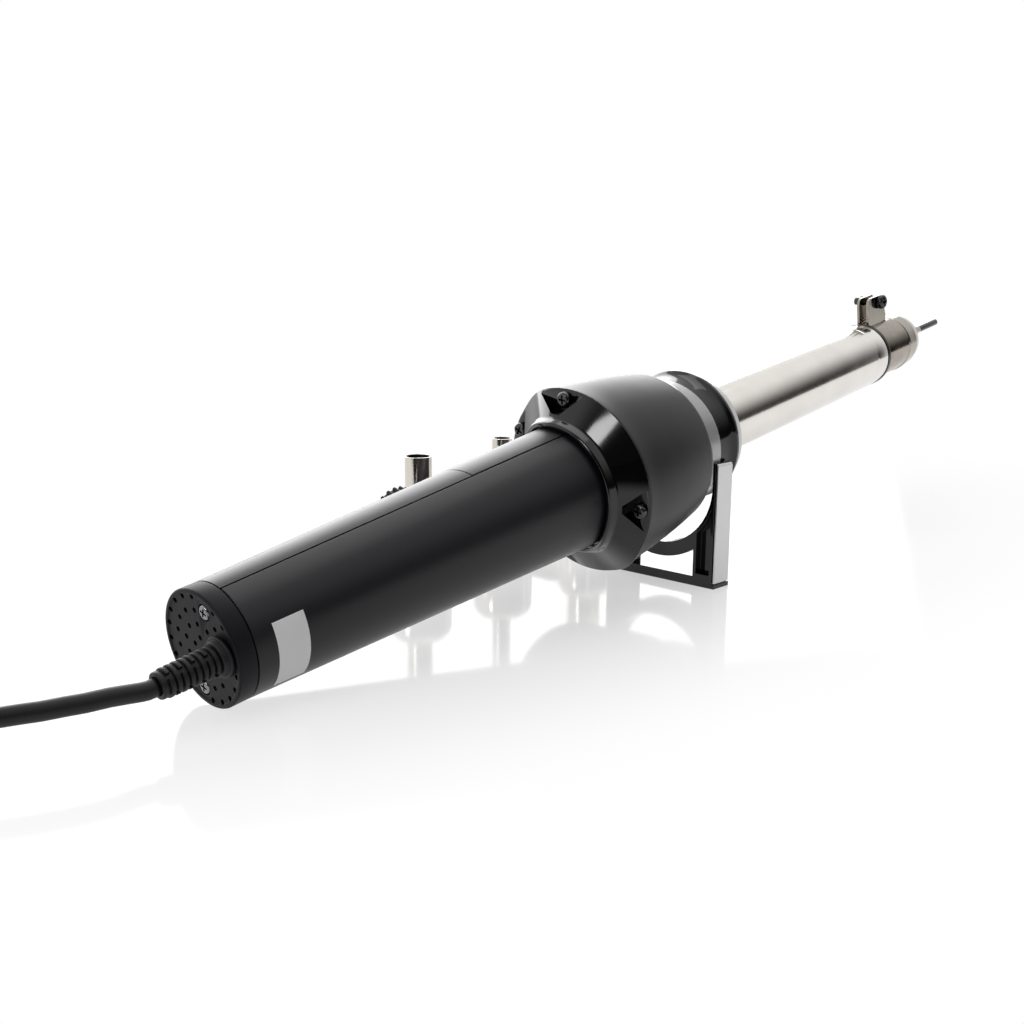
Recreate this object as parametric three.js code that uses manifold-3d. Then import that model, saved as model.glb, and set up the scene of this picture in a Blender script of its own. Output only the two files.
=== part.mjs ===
import * as THREE from 'three';
import { mergeVertices } from 'three/addons/utils/BufferGeometryUtils.js';
import Module from 'manifold-3d';

const wasm = await Module();
wasm.setup();

// Hand-held hot air gun resting nose up in a small U stand, with three spare nozzles standing
// behind it and its mains lead. Millimetres, +Z up, +X from the rear cap towards the nozzle.
// The origin is the centre of the stand's foot, on the table.

// Fits
const gap = 0.3;
const screwClearance = 0.3;

// Whole handset: axial sizes count from the rear face, along the gun's own axis
const tiltDegrees = 9.9;
const panelTurnDegrees = -72;
const fullTurnSegments = 36;

// Handle
const handleRearRadius = 15.15;
const handleFrontRadius = 19.6;
const handleLength = 134.9;
const handleStraight = 6.9;
const handleTaper = handleLength - handleStraight;
const handleWall = 2;
const coverSplit = 88.6;
const handleSeam = 0.3;

// Rear end cap
const capLength = 5.1;
const capDisc = 2.5;
const capWall = 1.6;
const capEdge = 0.5;
const ventRings = [{ radius: 2.9, count: 5 }, { radius: 6.45, count: 10 },
  { radius: 10, count: 15 }, { radius: 13.5, count: 20 }];
const ventRadius = 0.72;
const capScrewRadius = 11;
const capScrewAngles = [94, 266];
const capScrewHead = 1.9;
const capScrewSink = 1;

// Strain relief, beside the axis on the side of the panel's left hand
const reliefAcross = 9;
const reliefUp = 0.4;
const reliefLength = 17.5;
const reliefFlangeRadius = 5.2;
const reliefFlange = 1.2;
const reliefStepRadius = 4.5;
const reliefNeckRadius = 3.4;
const reliefRibRadius = 3.85;
const reliefCoreRadius = 3;
const reliefEndRadius = 3.5;
const reliefRibs = 9;
const reliefTaper = 0.03;

// Knob, rocker switch and indicator on the control cover
const knobFromSplit = 9.7;
const knobAt = coverSplit - knobFromSplit;
const knobRadius = 8;
const knobTop = 20.9;
const knobHeight = 3.9;
const knobTeeth = 20;
const knobToothDepth = 0.55;
const knobShaftRadius = 3;
const lensFromKnob = 14.9;
const lensAt = knobAt - lensFromKnob;
const lensRadius = 2;
const lensTop = 18.9;
const switchFromLens = 16;
const switchAt = lensAt - switchFromLens;
const switchLength = 13;
const switchWidth = 8.4;
const switchDepth = 11;
const bezelRim = 1.1;
const bezelHeight = 1;
const rockerLength = 10.6;
const rockerWidth = 6;
const rockerTilt = 9;
const rockerPivotHeight = 16.4;

// Circuit board and what it carries
const boardFrom = 18;
const boardPastKnob = 17.1;
const boardTo = knobAt + boardPastKnob;
const boardWidth = 25.6;
const boardThickness = 1.6;
const potSize = 11;
const potHeight = 6.6;
const postInset = 12;
const postWidth = 6;

// Blank label on the lower shell
const labelFrom = 11;
const labelTo = 20;
const labelAngles = [141, 211];
const labelThickness = 0.25;

// Collar behind the fan housing
const collarOverHandle = 8;
const collarLength = 8.4;
const collarRear = handleLength - collarOverHandle;
const collarFront = collarRear + collarLength;
const collarShoulder = [[1.4, 26.2], [2.9, 28.2], [5.1, 29.9]];
const collarMouthDepth = 2.9;
const collarFrontRadius = 31.2;
const collarMouthRadius = 20.9;
const collarRimRadius = 23.3;
const notchAngles = [4, 99, 184, 279];
const notchWallThickness = 1.7;
const notchWall = collarFront - notchWallThickness;
const notchLength = 8;
const notchHalfWidth = 6.8;
const notchFloor = 24.2;
const collarScrewRadius = 27.4;
const collarScrewHead = 2.3;
const collarScrewHeadHeight = 1.7;
const collarScrewShank = 1.2;
const collarScrewLength = 8;

// Fan housing
const housingRear = collarFront + gap;
const housingWall = 2.2;
const housingProfile = [[0, 30.3], [4.4, 29.7], [14.4, 28.9], [23.4, 28], [31.4, 26.9], [38.4, 25.7]];
const housingFront = housingRear + housingProfile.at(-1)[0];
const inletRadius = 14;
const bossRadius = 2.6;
const bossLength = 5;

// Fan and motor
const motorRadius = 12;
const motorLength = 27.6;
const mountThickness = 1.6;
const mountRadius = 24.2;
const mountBore = 4;
const motorBossRadius = 3.6;
const motorBossLength = 1.2;
const shaftRadius = 1.5;
const shaftLength = 18;
const impellerStandOff = 4.2;
const impellerRadius = 22.6;
const impellerDisc = 1.2;
const impellerHub = 4.2;
const impellerDepth = 12;
const impellerBlades = 9;
const bladeThickness = 1.2;
const bladeInner = 9;

// Neck ring and front flange
const neckSpigot = 8;
const neckSpigotRadius = 23.1;
const neckShoulderRadius = 25.3;
const neckFloorRadius = 20.9;
const neckShoulder = housingFront + gap;
const neckShoulderLength = 5.3;
const neckFloorFrom = neckShoulder + neckShoulderLength;
const neckFloorLength = 9.8;
const neckFloorTo = neckFloorFrom + neckFloorLength;
const neckRimRadius = 22.4;
const neckFlare = 3.9;
const neckRimFrom = neckFloorTo + neckFlare;
const neckRimLength = 1.2;
const neckFront = neckRimFrom + neckRimLength;
const neckToRest = 3.02;
const neckBore = 18.6;
const neckWeb = 4;
const flangeLength = 4.4;
const flangeRearRadius = 22;
const flangeFrontRadius = 20.3;
const flangeScrewRadius = 16.6;
const flangeScrewHead = 2;
const flangeScrewCount = 3;

// Barrel, heater and the tube that the nozzle seats on
const barrelRadius = 12.5;
const barrelWall = 0.8;
const barrelInNeck = 8.5;
const barrelFrom = neckFront - barrelInNeck;
const barrelLength = 131.7;
const barrelTo = barrelFrom + barrelLength;
const barrelGrooveInset = 7.7;
const barrelGrooveAt = barrelTo - barrelGrooveInset;
const barrelGrooveDepth = 0.15;
const endRingLength = 2;
const endRingLip = 0.15;
const sleeveRadius = 10.4;
const sleeveWall = 0.6;
const sleeveReach = 18.3;
const sleeveTo = barrelTo + sleeveReach;
const formerRadius = 4;
const formerDisc = 2;
const formerInset = 20;
const formerFrom = barrelFrom + formerInset;
const formerTo = barrelTo - formerInset;
const heaterTurns = 8;
const heaterWire = 1.8;
const heaterStandOff = 0.6;

// Nozzles: all cups fit the same tube
const cupWall = 0.5;
const earLength = 15;
const earHeight = 11.2;
const earThickness = 1;
const earSpacing = 3;
const clampScrewAt = 9.7;
const clampScrewHeight = 8.6;
const clampScrewRadius = 1.5;
const clampScrewReach = 5.2;
const clampHeadRadius = 2.8;
const clampHeadHeight = 2.2;
const clampNutRadius = 3.1;
const clampNutHeight = 2.3;
const nozzleSegments = 20;
const fittedNozzle = { cup: 19.8, bead: 0.3, dome: 16, root: 3, cone: 13.7, tube: 1.35, wall: 0.4,
  length: 65.7, shoulder: [[0.37, 0.97], [0.6, 0.85], [0.82, 0.58]] };
const spareCup = { cup: 15.6, bead: 0, dome: 5.2, cone: 0, wall: 0.5,
  shoulder: [[0.4, 0.92], [0.78, 0.64], [0.96, 0.3]] };
const spareNozzles = [
  { ...spareCup, name: 'medium', root: 4.5, tube: 4.5, length: 42.5, along: -64.6, earTurn: -46 },
  { ...spareCup, name: 'small', root: 3.5, tube: 3.5, length: 44.7, along: -24.6, earTurn: -130 },
  { ...spareCup, name: 'large', root: 6.75, tube: 6.75, length: 43.6, along: 21.4, earTurn: -40 },
];
const spareRow = 55;

// Stand
const standThickness = 8.8;
const standHalfWidth = 22.7;
const standHeight = 42;
const saddleRadius = 20.8;
const saddleCentre = 33.8;
const saddleBand = 4.9;
const footBar = 3.2;
const footLip = 1.5;
const windowHalfWidth = 14.1;
const plateThickness = 0.6;
const pocketDepth = 2.9;
const pocketRim = 1.2;

// Mains lead
const cordDiameter = 4.4;
const cordSides = 8;
const cordSteps = 9;
const coilPitch = 5;
const coilInnerRadius = 17.7;
const coilTurnsIn = 3.5;
const coilTurnsOut = 3.75;
const coilTurnSegments = 24;
const coilSides = 6;
const coilCentreX = -271.6;
const tieThickness = 0.7;
const tieWidth = 5;
const leadRoute = [[-206.4, -8.6, 12.1], [-211.8, -8.3, 12.5], [-217, -7.8, 12.5], [-221, -6.8, 12.5],
  [-226, -5.5, 12.4], [-233.3, -2.7, 12.3], [-240.5, -0.2, 11.4], [-248, 1.7, 8.9], [-254.5, 2.9, 6],
  [-260, 3.5, 4.1]];
const coilStartY = 3.7;
const plugThickness = 14.4;
const plugWidth = 26;
const plugLength = 32;
const plugReliefLength = 12;
const plugReliefRadius = 4;
const pinRadius = 2;
const pinLength = 19;
const pinSpacing = 18.6;
const tailLength = 12;

// Colours
const mattBlack = { color: 0x17181a, roughness: 0.6, metalness: 0 };
const glossBlack = { color: 0x0c0d0f, roughness: 0.15, metalness: 0 };
const rubberBlack = { color: 0x141416, roughness: 0.75, metalness: 0 };
const brushedSteel = { color: 0xc9c6c0, roughness: 0.3, metalness: 1 };
const polishedSteel = { color: 0xd8d6d2, roughness: 0.12, metalness: 1 };
const darkSteel = { color: 0x2b2b2d, roughness: 0.35, metalness: 1 };
const greySteel = { color: 0x98989a, roughness: 0.45, metalness: 1 };
const silverPlastic = { color: 0xb9babc, roughness: 0.3, metalness: 0.4 };
const ceramicWhite = { color: 0xe6e1d6, roughness: 0.8, metalness: 0 };
const heaterAlloy = { color: 0x8c857a, roughness: 0.5, metalness: 1 };
const boardGreen = { color: 0x2c5b3a, roughness: 0.6, metalness: 0 };
const componentGrey = { color: 0x4b4d50, roughness: 0.5, metalness: 0 };
const labelWhite = { color: 0xf0f0ee, roughness: 0.5, metalness: 0 };
const lensRed = { color: 0xb02018, roughness: 0.2, metalness: 0 };
const impellerGrey = { color: 0x55585c, roughness: 0.5, metalness: 0 };

const radians = THREE.MathUtils.degToRad;
const tilt = radians(tiltDegrees);

// One closed surface with merged corners and faces that point out
function closed(source) {
  const bare = new THREE.BufferGeometry();
  bare.setAttribute('position', source.getAttribute('position').clone());
  if (source.index) bare.setIndex(source.index.clone());
  const merged = mergeVertices(bare, 1e-4);
  const p = merged.getAttribute('position');
  const corners = Array.from(merged.index.array);
  const kept = [];
  let volume = 0;
  const a = new THREE.Vector3();
  const b = new THREE.Vector3();
  const c = new THREE.Vector3();
  for (let i = 0; i < corners.length; i += 3) {
    const [u, v, w] = corners.slice(i, i + 3);
    if (u === v || v === w || u === w) continue;
    kept.push([u, v, w]);
    a.fromBufferAttribute(p, u);
    b.fromBufferAttribute(p, v);
    c.fromBufferAttribute(p, w);
    volume += a.dot(b.cross(c)) / 6;
  }
  merged.setIndex(kept.flatMap((t) => (volume < 0 ? [t[0], t[2], t[1]] : t)));
  return merged;
}

function toSolid(geometry) {
  const shell = closed(geometry);
  return new wasm.Manifold(new wasm.Mesh({
    numProp: 3,
    vertProperties: new Float32Array(shell.getAttribute('position').array),
    triVerts: new Uint32Array(shell.index.array),
  }));
}

function toGeometry(solid) {
  const mesh = solid.getMesh();
  const geometry = new THREE.BufferGeometry();
  geometry.setAttribute('position', new THREE.BufferAttribute(new Float32Array(mesh.vertProperties), 3));
  geometry.setIndex(Array.from(mesh.triVerts));
  return geometry;
}

function cut(body, ...tools) {
  return toGeometry(tools.reduce((solid, tool) => solid.subtract(toSolid(tool)), toSolid(body)));
}

function join(...pieces) {
  return toGeometry(pieces.map(toSolid).reduce((sum, solid) => sum.add(solid)));
}

// Turned piece about the X axis from [along, radius] points, which close on themselves
function turned(profile, segments = fullTurnSegments) {
  const points = [...profile, profile[0]].map(([along, radius]) => new THREE.Vector2(radius, along));
  return new THREE.LatheGeometry(points, segments).rotateZ(-Math.PI / 2);
}

function rod(radius, from, to, segments = 12) {
  return turned([[from, 0], [to, 0], [to, radius], [from, radius]], segments);
}

function pipe(outer, inner, from, to, segments = fullTurnSegments) {
  return turned([[from, inner], [to, inner], [to, outer], [from, outer]], segments);
}

function block(x0, x1, y0, y1, z0, z1) {
  return new THREE.BoxGeometry(x1 - x0, y1 - y0, z1 - z0)
    .translate((x0 + x1) / 2, (y0 + y1) / 2, (z0 + z1) / 2);
}

// A point at an angle about the X axis, counted from +Z towards -Y
function around(along, radius, degrees) {
  return [along, -radius * Math.sin(radians(degrees)), radius * Math.cos(radians(degrees))];
}

// Part turn of a profile about the X axis, closed at both ends
function sector(profile, fromDegrees, toDegrees, steps) {
  const outline = profile.map(([along, radius]) => new THREE.Vector2(along, radius));
  if (THREE.ShapeUtils.area(outline) < 0) outline.reverse();
  const n = outline.length;
  const positions = [];
  const index = [];
  for (let j = 0; j <= steps; j += 1) {
    const angle = fromDegrees + ((toDegrees - fromDegrees) * j) / steps;
    outline.forEach((q) => positions.push(...around(q.x, q.y, angle)));
  }
  for (let j = 0; j < steps; j += 1) {
    for (let i = 0; i < n; i += 1) {
      const k = (i + 1) % n;
      const [a, b, c, d] = [j * n + i, j * n + k, (j + 1) * n + k, (j + 1) * n + i];
      index.push(a, b, c, a, c, d);
    }
  }
  for (const [a, b, c] of THREE.ShapeUtils.triangulateShape(outline, [])) {
    const side = THREE.ShapeUtils.area([outline[a], outline[b], outline[c]]);
    const [u, v, w] = side > 0 ? [a, b, c] : [a, c, b];
    index.push(w, v, u, steps * n + u, steps * n + v, steps * n + w);
  }
  const geometry = new THREE.BufferGeometry();
  geometry.setAttribute('position', new THREE.Float32BufferAttribute(positions, 3));
  geometry.setIndex(index);
  return geometry;
}

// Flat outline of [y, z] points, extruded along +X from a start
function extrudeX(points, from, length, holes = []) {
  const shape = new THREE.Shape(points.map(([y, z]) => new THREE.Vector2(y, z)));
  holes.forEach((hole) => shape.holes.push(new THREE.Path(hole.map(([y, z]) => new THREE.Vector2(y, z)))));
  const axes = new THREE.Matrix4().makeBasis(
    new THREE.Vector3(0, 1, 0), new THREE.Vector3(0, 0, 1), new THREE.Vector3(1, 0, 0));
  return new THREE.ExtrudeGeometry(shape, { depth: length, bevelEnabled: false })
    .applyMatrix4(axes).translate(from, 0, 0);
}

// Flat outline of [x, z] points, extruded across Y about the middle
function extrudeY(points, width, middle = 0) {
  const shape = new THREE.Shape(points.map(([x, z]) => new THREE.Vector2(x, z)));
  const axes = new THREE.Matrix4().makeBasis(
    new THREE.Vector3(1, 0, 0), new THREE.Vector3(0, 0, 1), new THREE.Vector3(0, -1, 0));
  return new THREE.ExtrudeGeometry(shape, { depth: width, bevelEnabled: false })
    .applyMatrix4(axes).translate(0, middle + width / 2, 0);
}

// Upright piece from an [x, y] outline
function extrudeZ(points, from, height) {
  const shape = new THREE.Shape(points.map(([x, y]) => new THREE.Vector2(x, y)));
  return new THREE.ExtrudeGeometry(shape, { depth: height, bevelEnabled: false }).translate(0, 0, from);
}

function circlePoints(radius, count, fromDegrees = 0, toDegrees = 360) {
  const full = toDegrees - fromDegrees === 360;
  return Array.from({ length: full ? count : count + 1 }, (_, i) => {
    const angle = radians(fromDegrees + ((toDegrees - fromDegrees) * i) / count);
    return [radius * Math.cos(angle), radius * Math.sin(angle)];
  });
}

// Cross-head screw along X: the head's flat side is at x = 0 and the shank runs to +X
function screw(headRadius, headHeight, shankRadius, shankLength, segments = 9) {
  const crown = headHeight * 0.25;
  const body = turned([[-headHeight, 0], [shankLength, 0], [shankLength, shankRadius], [0, shankRadius],
    [0, headRadius], [crown - headHeight, headRadius], [-headHeight, headRadius * 0.7]], segments);
  const slotLength = headRadius * 1.1;
  const slotWidth = headRadius * 0.26;
  const slotDepth = headHeight * 0.5;
  const wide = block(-headHeight - 1, slotDepth - headHeight, -slotLength / 2, slotLength / 2,
    -slotWidth / 2, slotWidth / 2);
  const tall = block(-headHeight - 1, slotDepth - headHeight, -slotWidth / 2, slotWidth / 2,
    -slotLength / 2, slotLength / 2);
  return cut(body, join(wide, tall));
}

function handleRadiusAt(along) {
  const share = Math.min(along, handleTaper) / handleTaper;
  return handleRearRadius + (handleFrontRadius - handleRearRadius) * share;
}

// The cap's rim rests on the table at the rear
function capRadius() {
  return handleRadiusAt(capLength);
}

const station = new THREE.Group();
const handset = new THREE.Group();
const panel = new THREE.Group();
handset.rotation.y = -tilt;
const restAt = neckFloorTo - neckToRest;
handset.position.set(-restAt * Math.cos(tilt), 0, capRadius() * Math.cos(tilt) - capEdge * Math.sin(tilt));
panel.rotation.x = radians(panelTurnDegrees);
handset.add(panel);
station.add(handset);

function add(parent, name, geometry, finish) {
  const mesh = new THREE.Mesh(closed(geometry), new THREE.MeshStandardMaterial(finish));
  mesh.name = name;
  parent.add(mesh);
  return mesh;
}

// Rear end cap: a shallow cup with rings of vent holes, two screws and the cable outlet
const reliefPlace = new THREE.Vector3(0, -reliefAcross, reliefUp)
  .applyAxisAngle(new THREE.Vector3(1, 0, 0), -panel.rotation.x);
const capScrewPlaces = capScrewAngles.map((angle) => around(capDisc - capScrewSink, capScrewRadius, angle));

function ventPlaces() {
  const places = [];
  for (const { radius, count } of ventRings) {
    for (let i = 0; i < count; i += 1) {
      const [, y, z] = around(0, radius, (i * 360) / count);
      const clearOf = (cy, cz, distance) => Math.hypot(y - cy, z - cz) > distance + ventRadius;
      const clearOfScrews = capScrewPlaces.every(([, cy, cz]) => clearOf(cy, cz, capScrewHead + 1));
      if (clearOf(reliefPlace.y, reliefPlace.z, reliefFlangeRadius) && clearOfScrews) places.push([y, z]);
    }
  }
  return places;
}

function rearEndCap() {
  const outer = capRadius();
  const cup = turned([[0, 0], [0, outer - capEdge], [capEdge, outer], [capLength, outer],
    [capLength, outer - capWall], [capDisc, outer - capWall], [capDisc, 0]]);
  const holes = ventPlaces().map(([y, z]) => rod(ventRadius, -1, capDisc + 1, 5).translate(0, y, z));
  const outlet = rod(reliefNeckRadius + gap, -1, capDisc + 1, 16)
    .translate(0, reliefPlace.y, reliefPlace.z);
  const screwHoles = capScrewPlaces.map(([, y, z]) => turned([[-1, 0], [capDisc + 1, 0],
    [capDisc + 1, 1.2 + screwClearance], [capDisc - capScrewSink, 1.2 + screwClearance],
    [capDisc - capScrewSink, capScrewHead + screwClearance], [-1, capScrewHead + screwClearance]], 12)
    .translate(0, y, z));
  const screwPosts = capScrewPlaces.map(([, y, z]) => rod(capScrewHead + 1, 0.4, capLength, 10)
    .translate(0, y, z));
  const screwBores = capScrewPlaces.map(([, y, z]) => rod(1.2 + screwClearance, 0.5, capLength + 1, 12)
    .translate(0, y, z));
  return cut(join(cup, ...screwPosts), outlet, ...holes, ...screwHoles, ...screwBores);
}
add(panel, 'rear_end_cap', rearEndCap(), mattBlack);

const capScrew = screw(capScrewHead, 1.2, 1.2, 8);
capScrewPlaces.forEach(([x, y, z], i) => {
  add(panel, `end_cap_screw_${i + 1}`, capScrew.clone().translate(x - gap, y, z), darkSteel);
});

// Ribbed strain relief, held in the cap by a neck between two flanges
function strainRelief() {
  const back = reliefFlangeRadius - 0.8;
  const profile = [[capDisc + 2, 0], [capDisc + 2, back], [capDisc + gap, back],
    [capDisc + gap, reliefNeckRadius], [-gap, reliefNeckRadius], [-gap, reliefFlangeRadius],
    [-reliefFlange, reliefFlangeRadius], [-reliefFlange, reliefStepRadius],
    [-reliefFlange * 2, reliefStepRadius - 0.2]];
  const from = reliefFlange * 2;
  const pitch = (reliefLength - from) / reliefRibs;
  for (let i = 0; i < reliefRibs; i += 1) {
    const start = from + i * pitch;
    const radius = reliefRibRadius - i * reliefTaper;
    profile.push([-start - pitch * 0.15, reliefCoreRadius], [-start - pitch * 0.4, radius],
      [-start - pitch * 0.9, radius]);
  }
  profile.push([-reliefLength, reliefEndRadius], [-reliefLength, 0]);
  return turned(profile, 12).translate(0, reliefPlace.y, reliefPlace.z);
}
add(panel, 'strain_relief', strainRelief(), rubberBlack);

// Handle: one lower shell, a control cover and a front cover, split level with the axis
function shellProfile(from, to) {
  const stations = [from, ...[handleTaper].filter((x) => x > from && x < to), to];
  return [...stations.map((x) => [x, handleRadiusAt(x)]),
    ...[...stations].reverse().map((x) => [x, handleRadiusAt(x) - handleWall])];
}

function halfShell(from, to, fromDegrees, toDegrees) {
  return sector(shellProfile(from, to), fromDegrees, toDegrees, 20);
}

const seamDegrees = THREE.MathUtils.radToDeg(handleSeam / 2 / handleRearRadius);
const boardBottom = -boardThickness / 2;

function lowerShell() {
  const shell = halfShell(capLength + gap, handleLength, 90 + seamDegrees, 270 - seamDegrees);
  const post = postWidth / 2;
  const posts = [boardFrom + postInset, boardTo - postInset].map((x) =>
    block(x - post, x + post, -post, post, handleWall / 2 - handleRadiusAt(x), boardBottom - gap));
  const recess = sector([[labelFrom - gap, handleRadiusAt(labelFrom) - labelThickness - gap],
    [labelTo + gap, handleRadiusAt(labelTo) - labelThickness - gap],
    [labelTo + gap, handleRadiusAt(labelTo) + 1], [labelFrom - gap, handleRadiusAt(labelFrom) + 1]],
  labelAngles[0] - 1, labelAngles[1] + 1, 9);
  const screwSeats = capScrewPlaces.map(([, y, z]) => rod(1.2 + capWall, capLength + gap, capLength + 6, 12)
    .translate(0, y, z));
  const screwBores = capScrewPlaces.map(([, y, z]) => rod(1.2 + screwClearance, capLength, capLength + 7, 12)
    .translate(0, y, z));
  const above = block(0, handleLength + 1, -handleFrontRadius - 1, handleFrontRadius + 1,
    -handleSeam / 2, handleFrontRadius + 5);
  return cut(join(shell, ...posts, ...screwSeats), recess, above, ...screwBores);
}
add(panel, 'lower_shell', lowerShell(), mattBlack);

function controlCover() {
  const shell = halfShell(capLength + gap, coverSplit - gap / 2, -90 + seamDegrees, 90 - seamDegrees);
  const knobPocket = extrudeZ(circlePoints(knobRadius + 0.6, 24), knobTop - knobHeight - gap, 10)
    .translate(knobAt, 0, 0);
  const knobHole = extrudeZ(circlePoints(knobShaftRadius + gap, 16), 5, 20).translate(knobAt, 0, 0);
  const lensHole = extrudeZ(circlePoints(lensRadius + gap, 12), 5, 20).translate(lensAt, 0, 0);
  const half = switchLength / 2 + gap;
  const switchHole = block(switchAt - half, switchAt + half, -switchWidth / 2 - gap, switchWidth / 2 + gap,
    5, 25);
  const seats = capScrewPlaces.map(([, y, z]) => rod(1.2 + capWall + gap, 0, capLength + 6 + gap, 12)
    .translate(0, y, z));
  return cut(shell, knobPocket, knobHole, lensHole, switchHole, ...seats);
}
add(panel, 'control_cover', controlCover(), mattBlack);
add(panel, 'front_cover',
  halfShell(coverSplit + gap / 2, handleLength, -90 + seamDegrees, 90 - seamDegrees), mattBlack);

add(panel, 'blank_label', sector([[labelFrom, handleRadiusAt(labelFrom) - labelThickness],
  [labelTo, handleRadiusAt(labelTo) - labelThickness], [labelTo, handleRadiusAt(labelTo) + 0.02],
  [labelFrom, handleRadiusAt(labelFrom) + 0.02]], labelAngles[0], labelAngles[1], 9), labelWhite);

// Controls
function knob() {
  const outline = [];
  for (let i = 0; i < knobTeeth; i += 1) {
    for (const [part, radius] of [[0, knobRadius], [0.5, knobRadius], [0.75, knobRadius - knobToothDepth]]) {
      const angle = ((i + part) * 2 * Math.PI) / knobTeeth;
      outline.push([radius * Math.cos(angle), radius * Math.sin(angle)]);
    }
  }
  const cap = extrudeZ(outline, knobTop - knobHeight, knobHeight);
  const potTop = -boardBottom + gap + potHeight;
  const shaft = extrudeZ(circlePoints(knobShaftRadius, 16), potTop + gap, knobTop - knobHeight - potTop);
  const pointer = block(knobRadius * 0.3, knobRadius * 0.85, -0.5, 0.5, knobTop - 0.4, knobTop + 1);
  return cut(join(cap, shaft), pointer).translate(knobAt, 0, 0);
}
add(panel, 'temperature_knob', knob(), mattBlack);

function switchBezel() {
  const seat = handleRadiusAt(switchAt) + gap;
  const outerX = switchLength / 2 + bezelRim;
  const outerY = switchWidth / 2 + bezelRim;
  const rim = block(switchAt - outerX, switchAt + outerX, -outerY, outerY, seat, seat + bezelHeight);
  const body = block(switchAt - switchLength / 2, switchAt + switchLength / 2, -switchWidth / 2,
    switchWidth / 2, seat - switchDepth, seat + bezelHeight / 2);
  const wellX = rockerLength / 2 + 0.7;
  const well = block(switchAt - wellX, switchAt + wellX, -rockerWidth / 2 - 0.4, rockerWidth / 2 + 0.4,
    seat - 6, seat + 5);
  return cut(join(rim, body), well);
}
add(panel, 'switch_bezel', switchBezel(), glossBlack);

// Rocker: its top is two flats that meet in a shallow valley, and it turns about its pivot line
function rocker() {
  const half = rockerLength / 2;
  const outline = [[-half, 1.9], [0, 1.1], [half, 1.9], [half * 0.92, -1.2], [half * 0.4, -3.4],
    [-half * 0.4, -3.4], [-half * 0.92, -1.2]];
  return extrudeY(outline, rockerWidth).rotateY(radians(rockerTilt))
    .translate(switchAt, 0, rockerPivotHeight);
}
add(panel, 'power_rocker', rocker(), glossBlack);

add(panel, 'indicator_lens', new THREE.LatheGeometry([[0, lensTop - 7], [lensRadius, lensTop - 7],
  [lensRadius, lensTop - 1.4], [lensRadius * 0.8, lensTop - 0.5], [lensRadius * 0.4, lensTop - 0.1],
  [0, lensTop]].map(([r, z]) => new THREE.Vector2(r, z)), 12).rotateX(Math.PI / 2)
  .translate(lensAt, 0, 0), lensRed);

// Electronics on the board
const boardTop = boardThickness / 2;
add(panel, 'circuit_board',
  block(boardFrom, boardTo, -boardWidth / 2, boardWidth / 2, boardBottom, boardTop), boardGreen);
add(panel, 'potentiometer', block(knobAt - potSize / 2, knobAt + potSize / 2, -potSize / 2, potSize / 2,
  boardTop + gap, boardTop + gap + potHeight), componentGrey);
add(panel, 'terminal_block', block(boardFrom + 2, boardFrom + 9, -9, 9, boardTop + gap, boardTop + 9),
  componentGrey);
add(panel, 'board_capacitor', block(boardFrom + 12, boardFrom + 18, -8, 8, boardTop + gap, boardTop + 10),
  componentGrey);
add(panel, 'triac', block(boardTo - 8, boardTo - 4, -5, 5, boardTop + gap, boardTop + 13), componentGrey);

// Collar: a glossy cone with a rounded shoulder, cut by wedge pockets for its screws
function collar() {
  const ring = turned([[collarRear, collarMouthRadius], [collarRear, collarRimRadius - 0.5],
    [collarRear + 0.5, collarRimRadius + 0.4], ...collarShoulder.map(([x, r]) => [collarRear + x, r]),
    [collarFront - 0.3, collarFrontRadius], [collarFront, collarFrontRadius - 0.3],
    [collarFront, handleFrontRadius + gap], [collarRear + collarMouthDepth, handleFrontRadius + gap],
    [collarRear + collarMouthDepth, collarMouthRadius]]);
  const tools = notchAngles.flatMap((angle) => {
    const wedge = extrudeZ([[notchWall - notchLength, 0], [notchWall, -notchHalfWidth],
      [notchWall, notchHalfWidth]], notchFloor, 12);
    const hole = rod(collarScrewShank + screwClearance, notchWall - 1, collarFront + 1, 10)
      .translate(0, 0, collarScrewRadius);
    return [wedge, hole].map((tool) => tool.rotateX(radians(angle)));
  });
  return cut(ring, ...tools);
}
add(handset, 'rear_collar', collar(), glossBlack);

const collarScrew = screw(collarScrewHead, collarScrewHeadHeight, collarScrewShank, collarScrewLength);
notchAngles.forEach((angle, i) => {
  add(handset, `collar_screw_${i + 1}`, collarScrew.clone().translate(notchWall - gap, 0, collarScrewRadius)
    .rotateX(radians(angle)), darkSteel);
});

// Fan housing: a barrel-shaped shell with a rear wall, an air inlet and four screw bosses
function fanHousing() {
  const outside = housingProfile.map(([x, r]) => [housingRear + x, r]);
  const inside = housingProfile.slice(1).map(([x, r]) => [housingRear + x, r - housingWall]).reverse();
  const shell = turned([[housingRear, inletRadius], ...outside, ...inside,
    [housingRear + housingWall, housingProfile[0][1] - housingWall - 0.2],
    [housingRear + housingWall, inletRadius]]);
  const bossTo = housingRear + housingWall + bossLength;
  const bosses = notchAngles.map((angle) => rod(bossRadius, housingRear + 0.5, bossTo, 8)
    .translate(0, 0, collarScrewRadius - 0.6).rotateX(radians(angle)));
  const bores = notchAngles.map((angle) =>
    rod(collarScrewShank + screwClearance, housingRear - 1, notchWall + collarScrewLength + gap, 10)
      .translate(0, 0, collarScrewRadius).rotateX(radians(angle)));
  return cut(join(shell, ...bosses), ...bores);
}
add(handset, 'fan_housing', fanHousing(), mattBlack);

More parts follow.
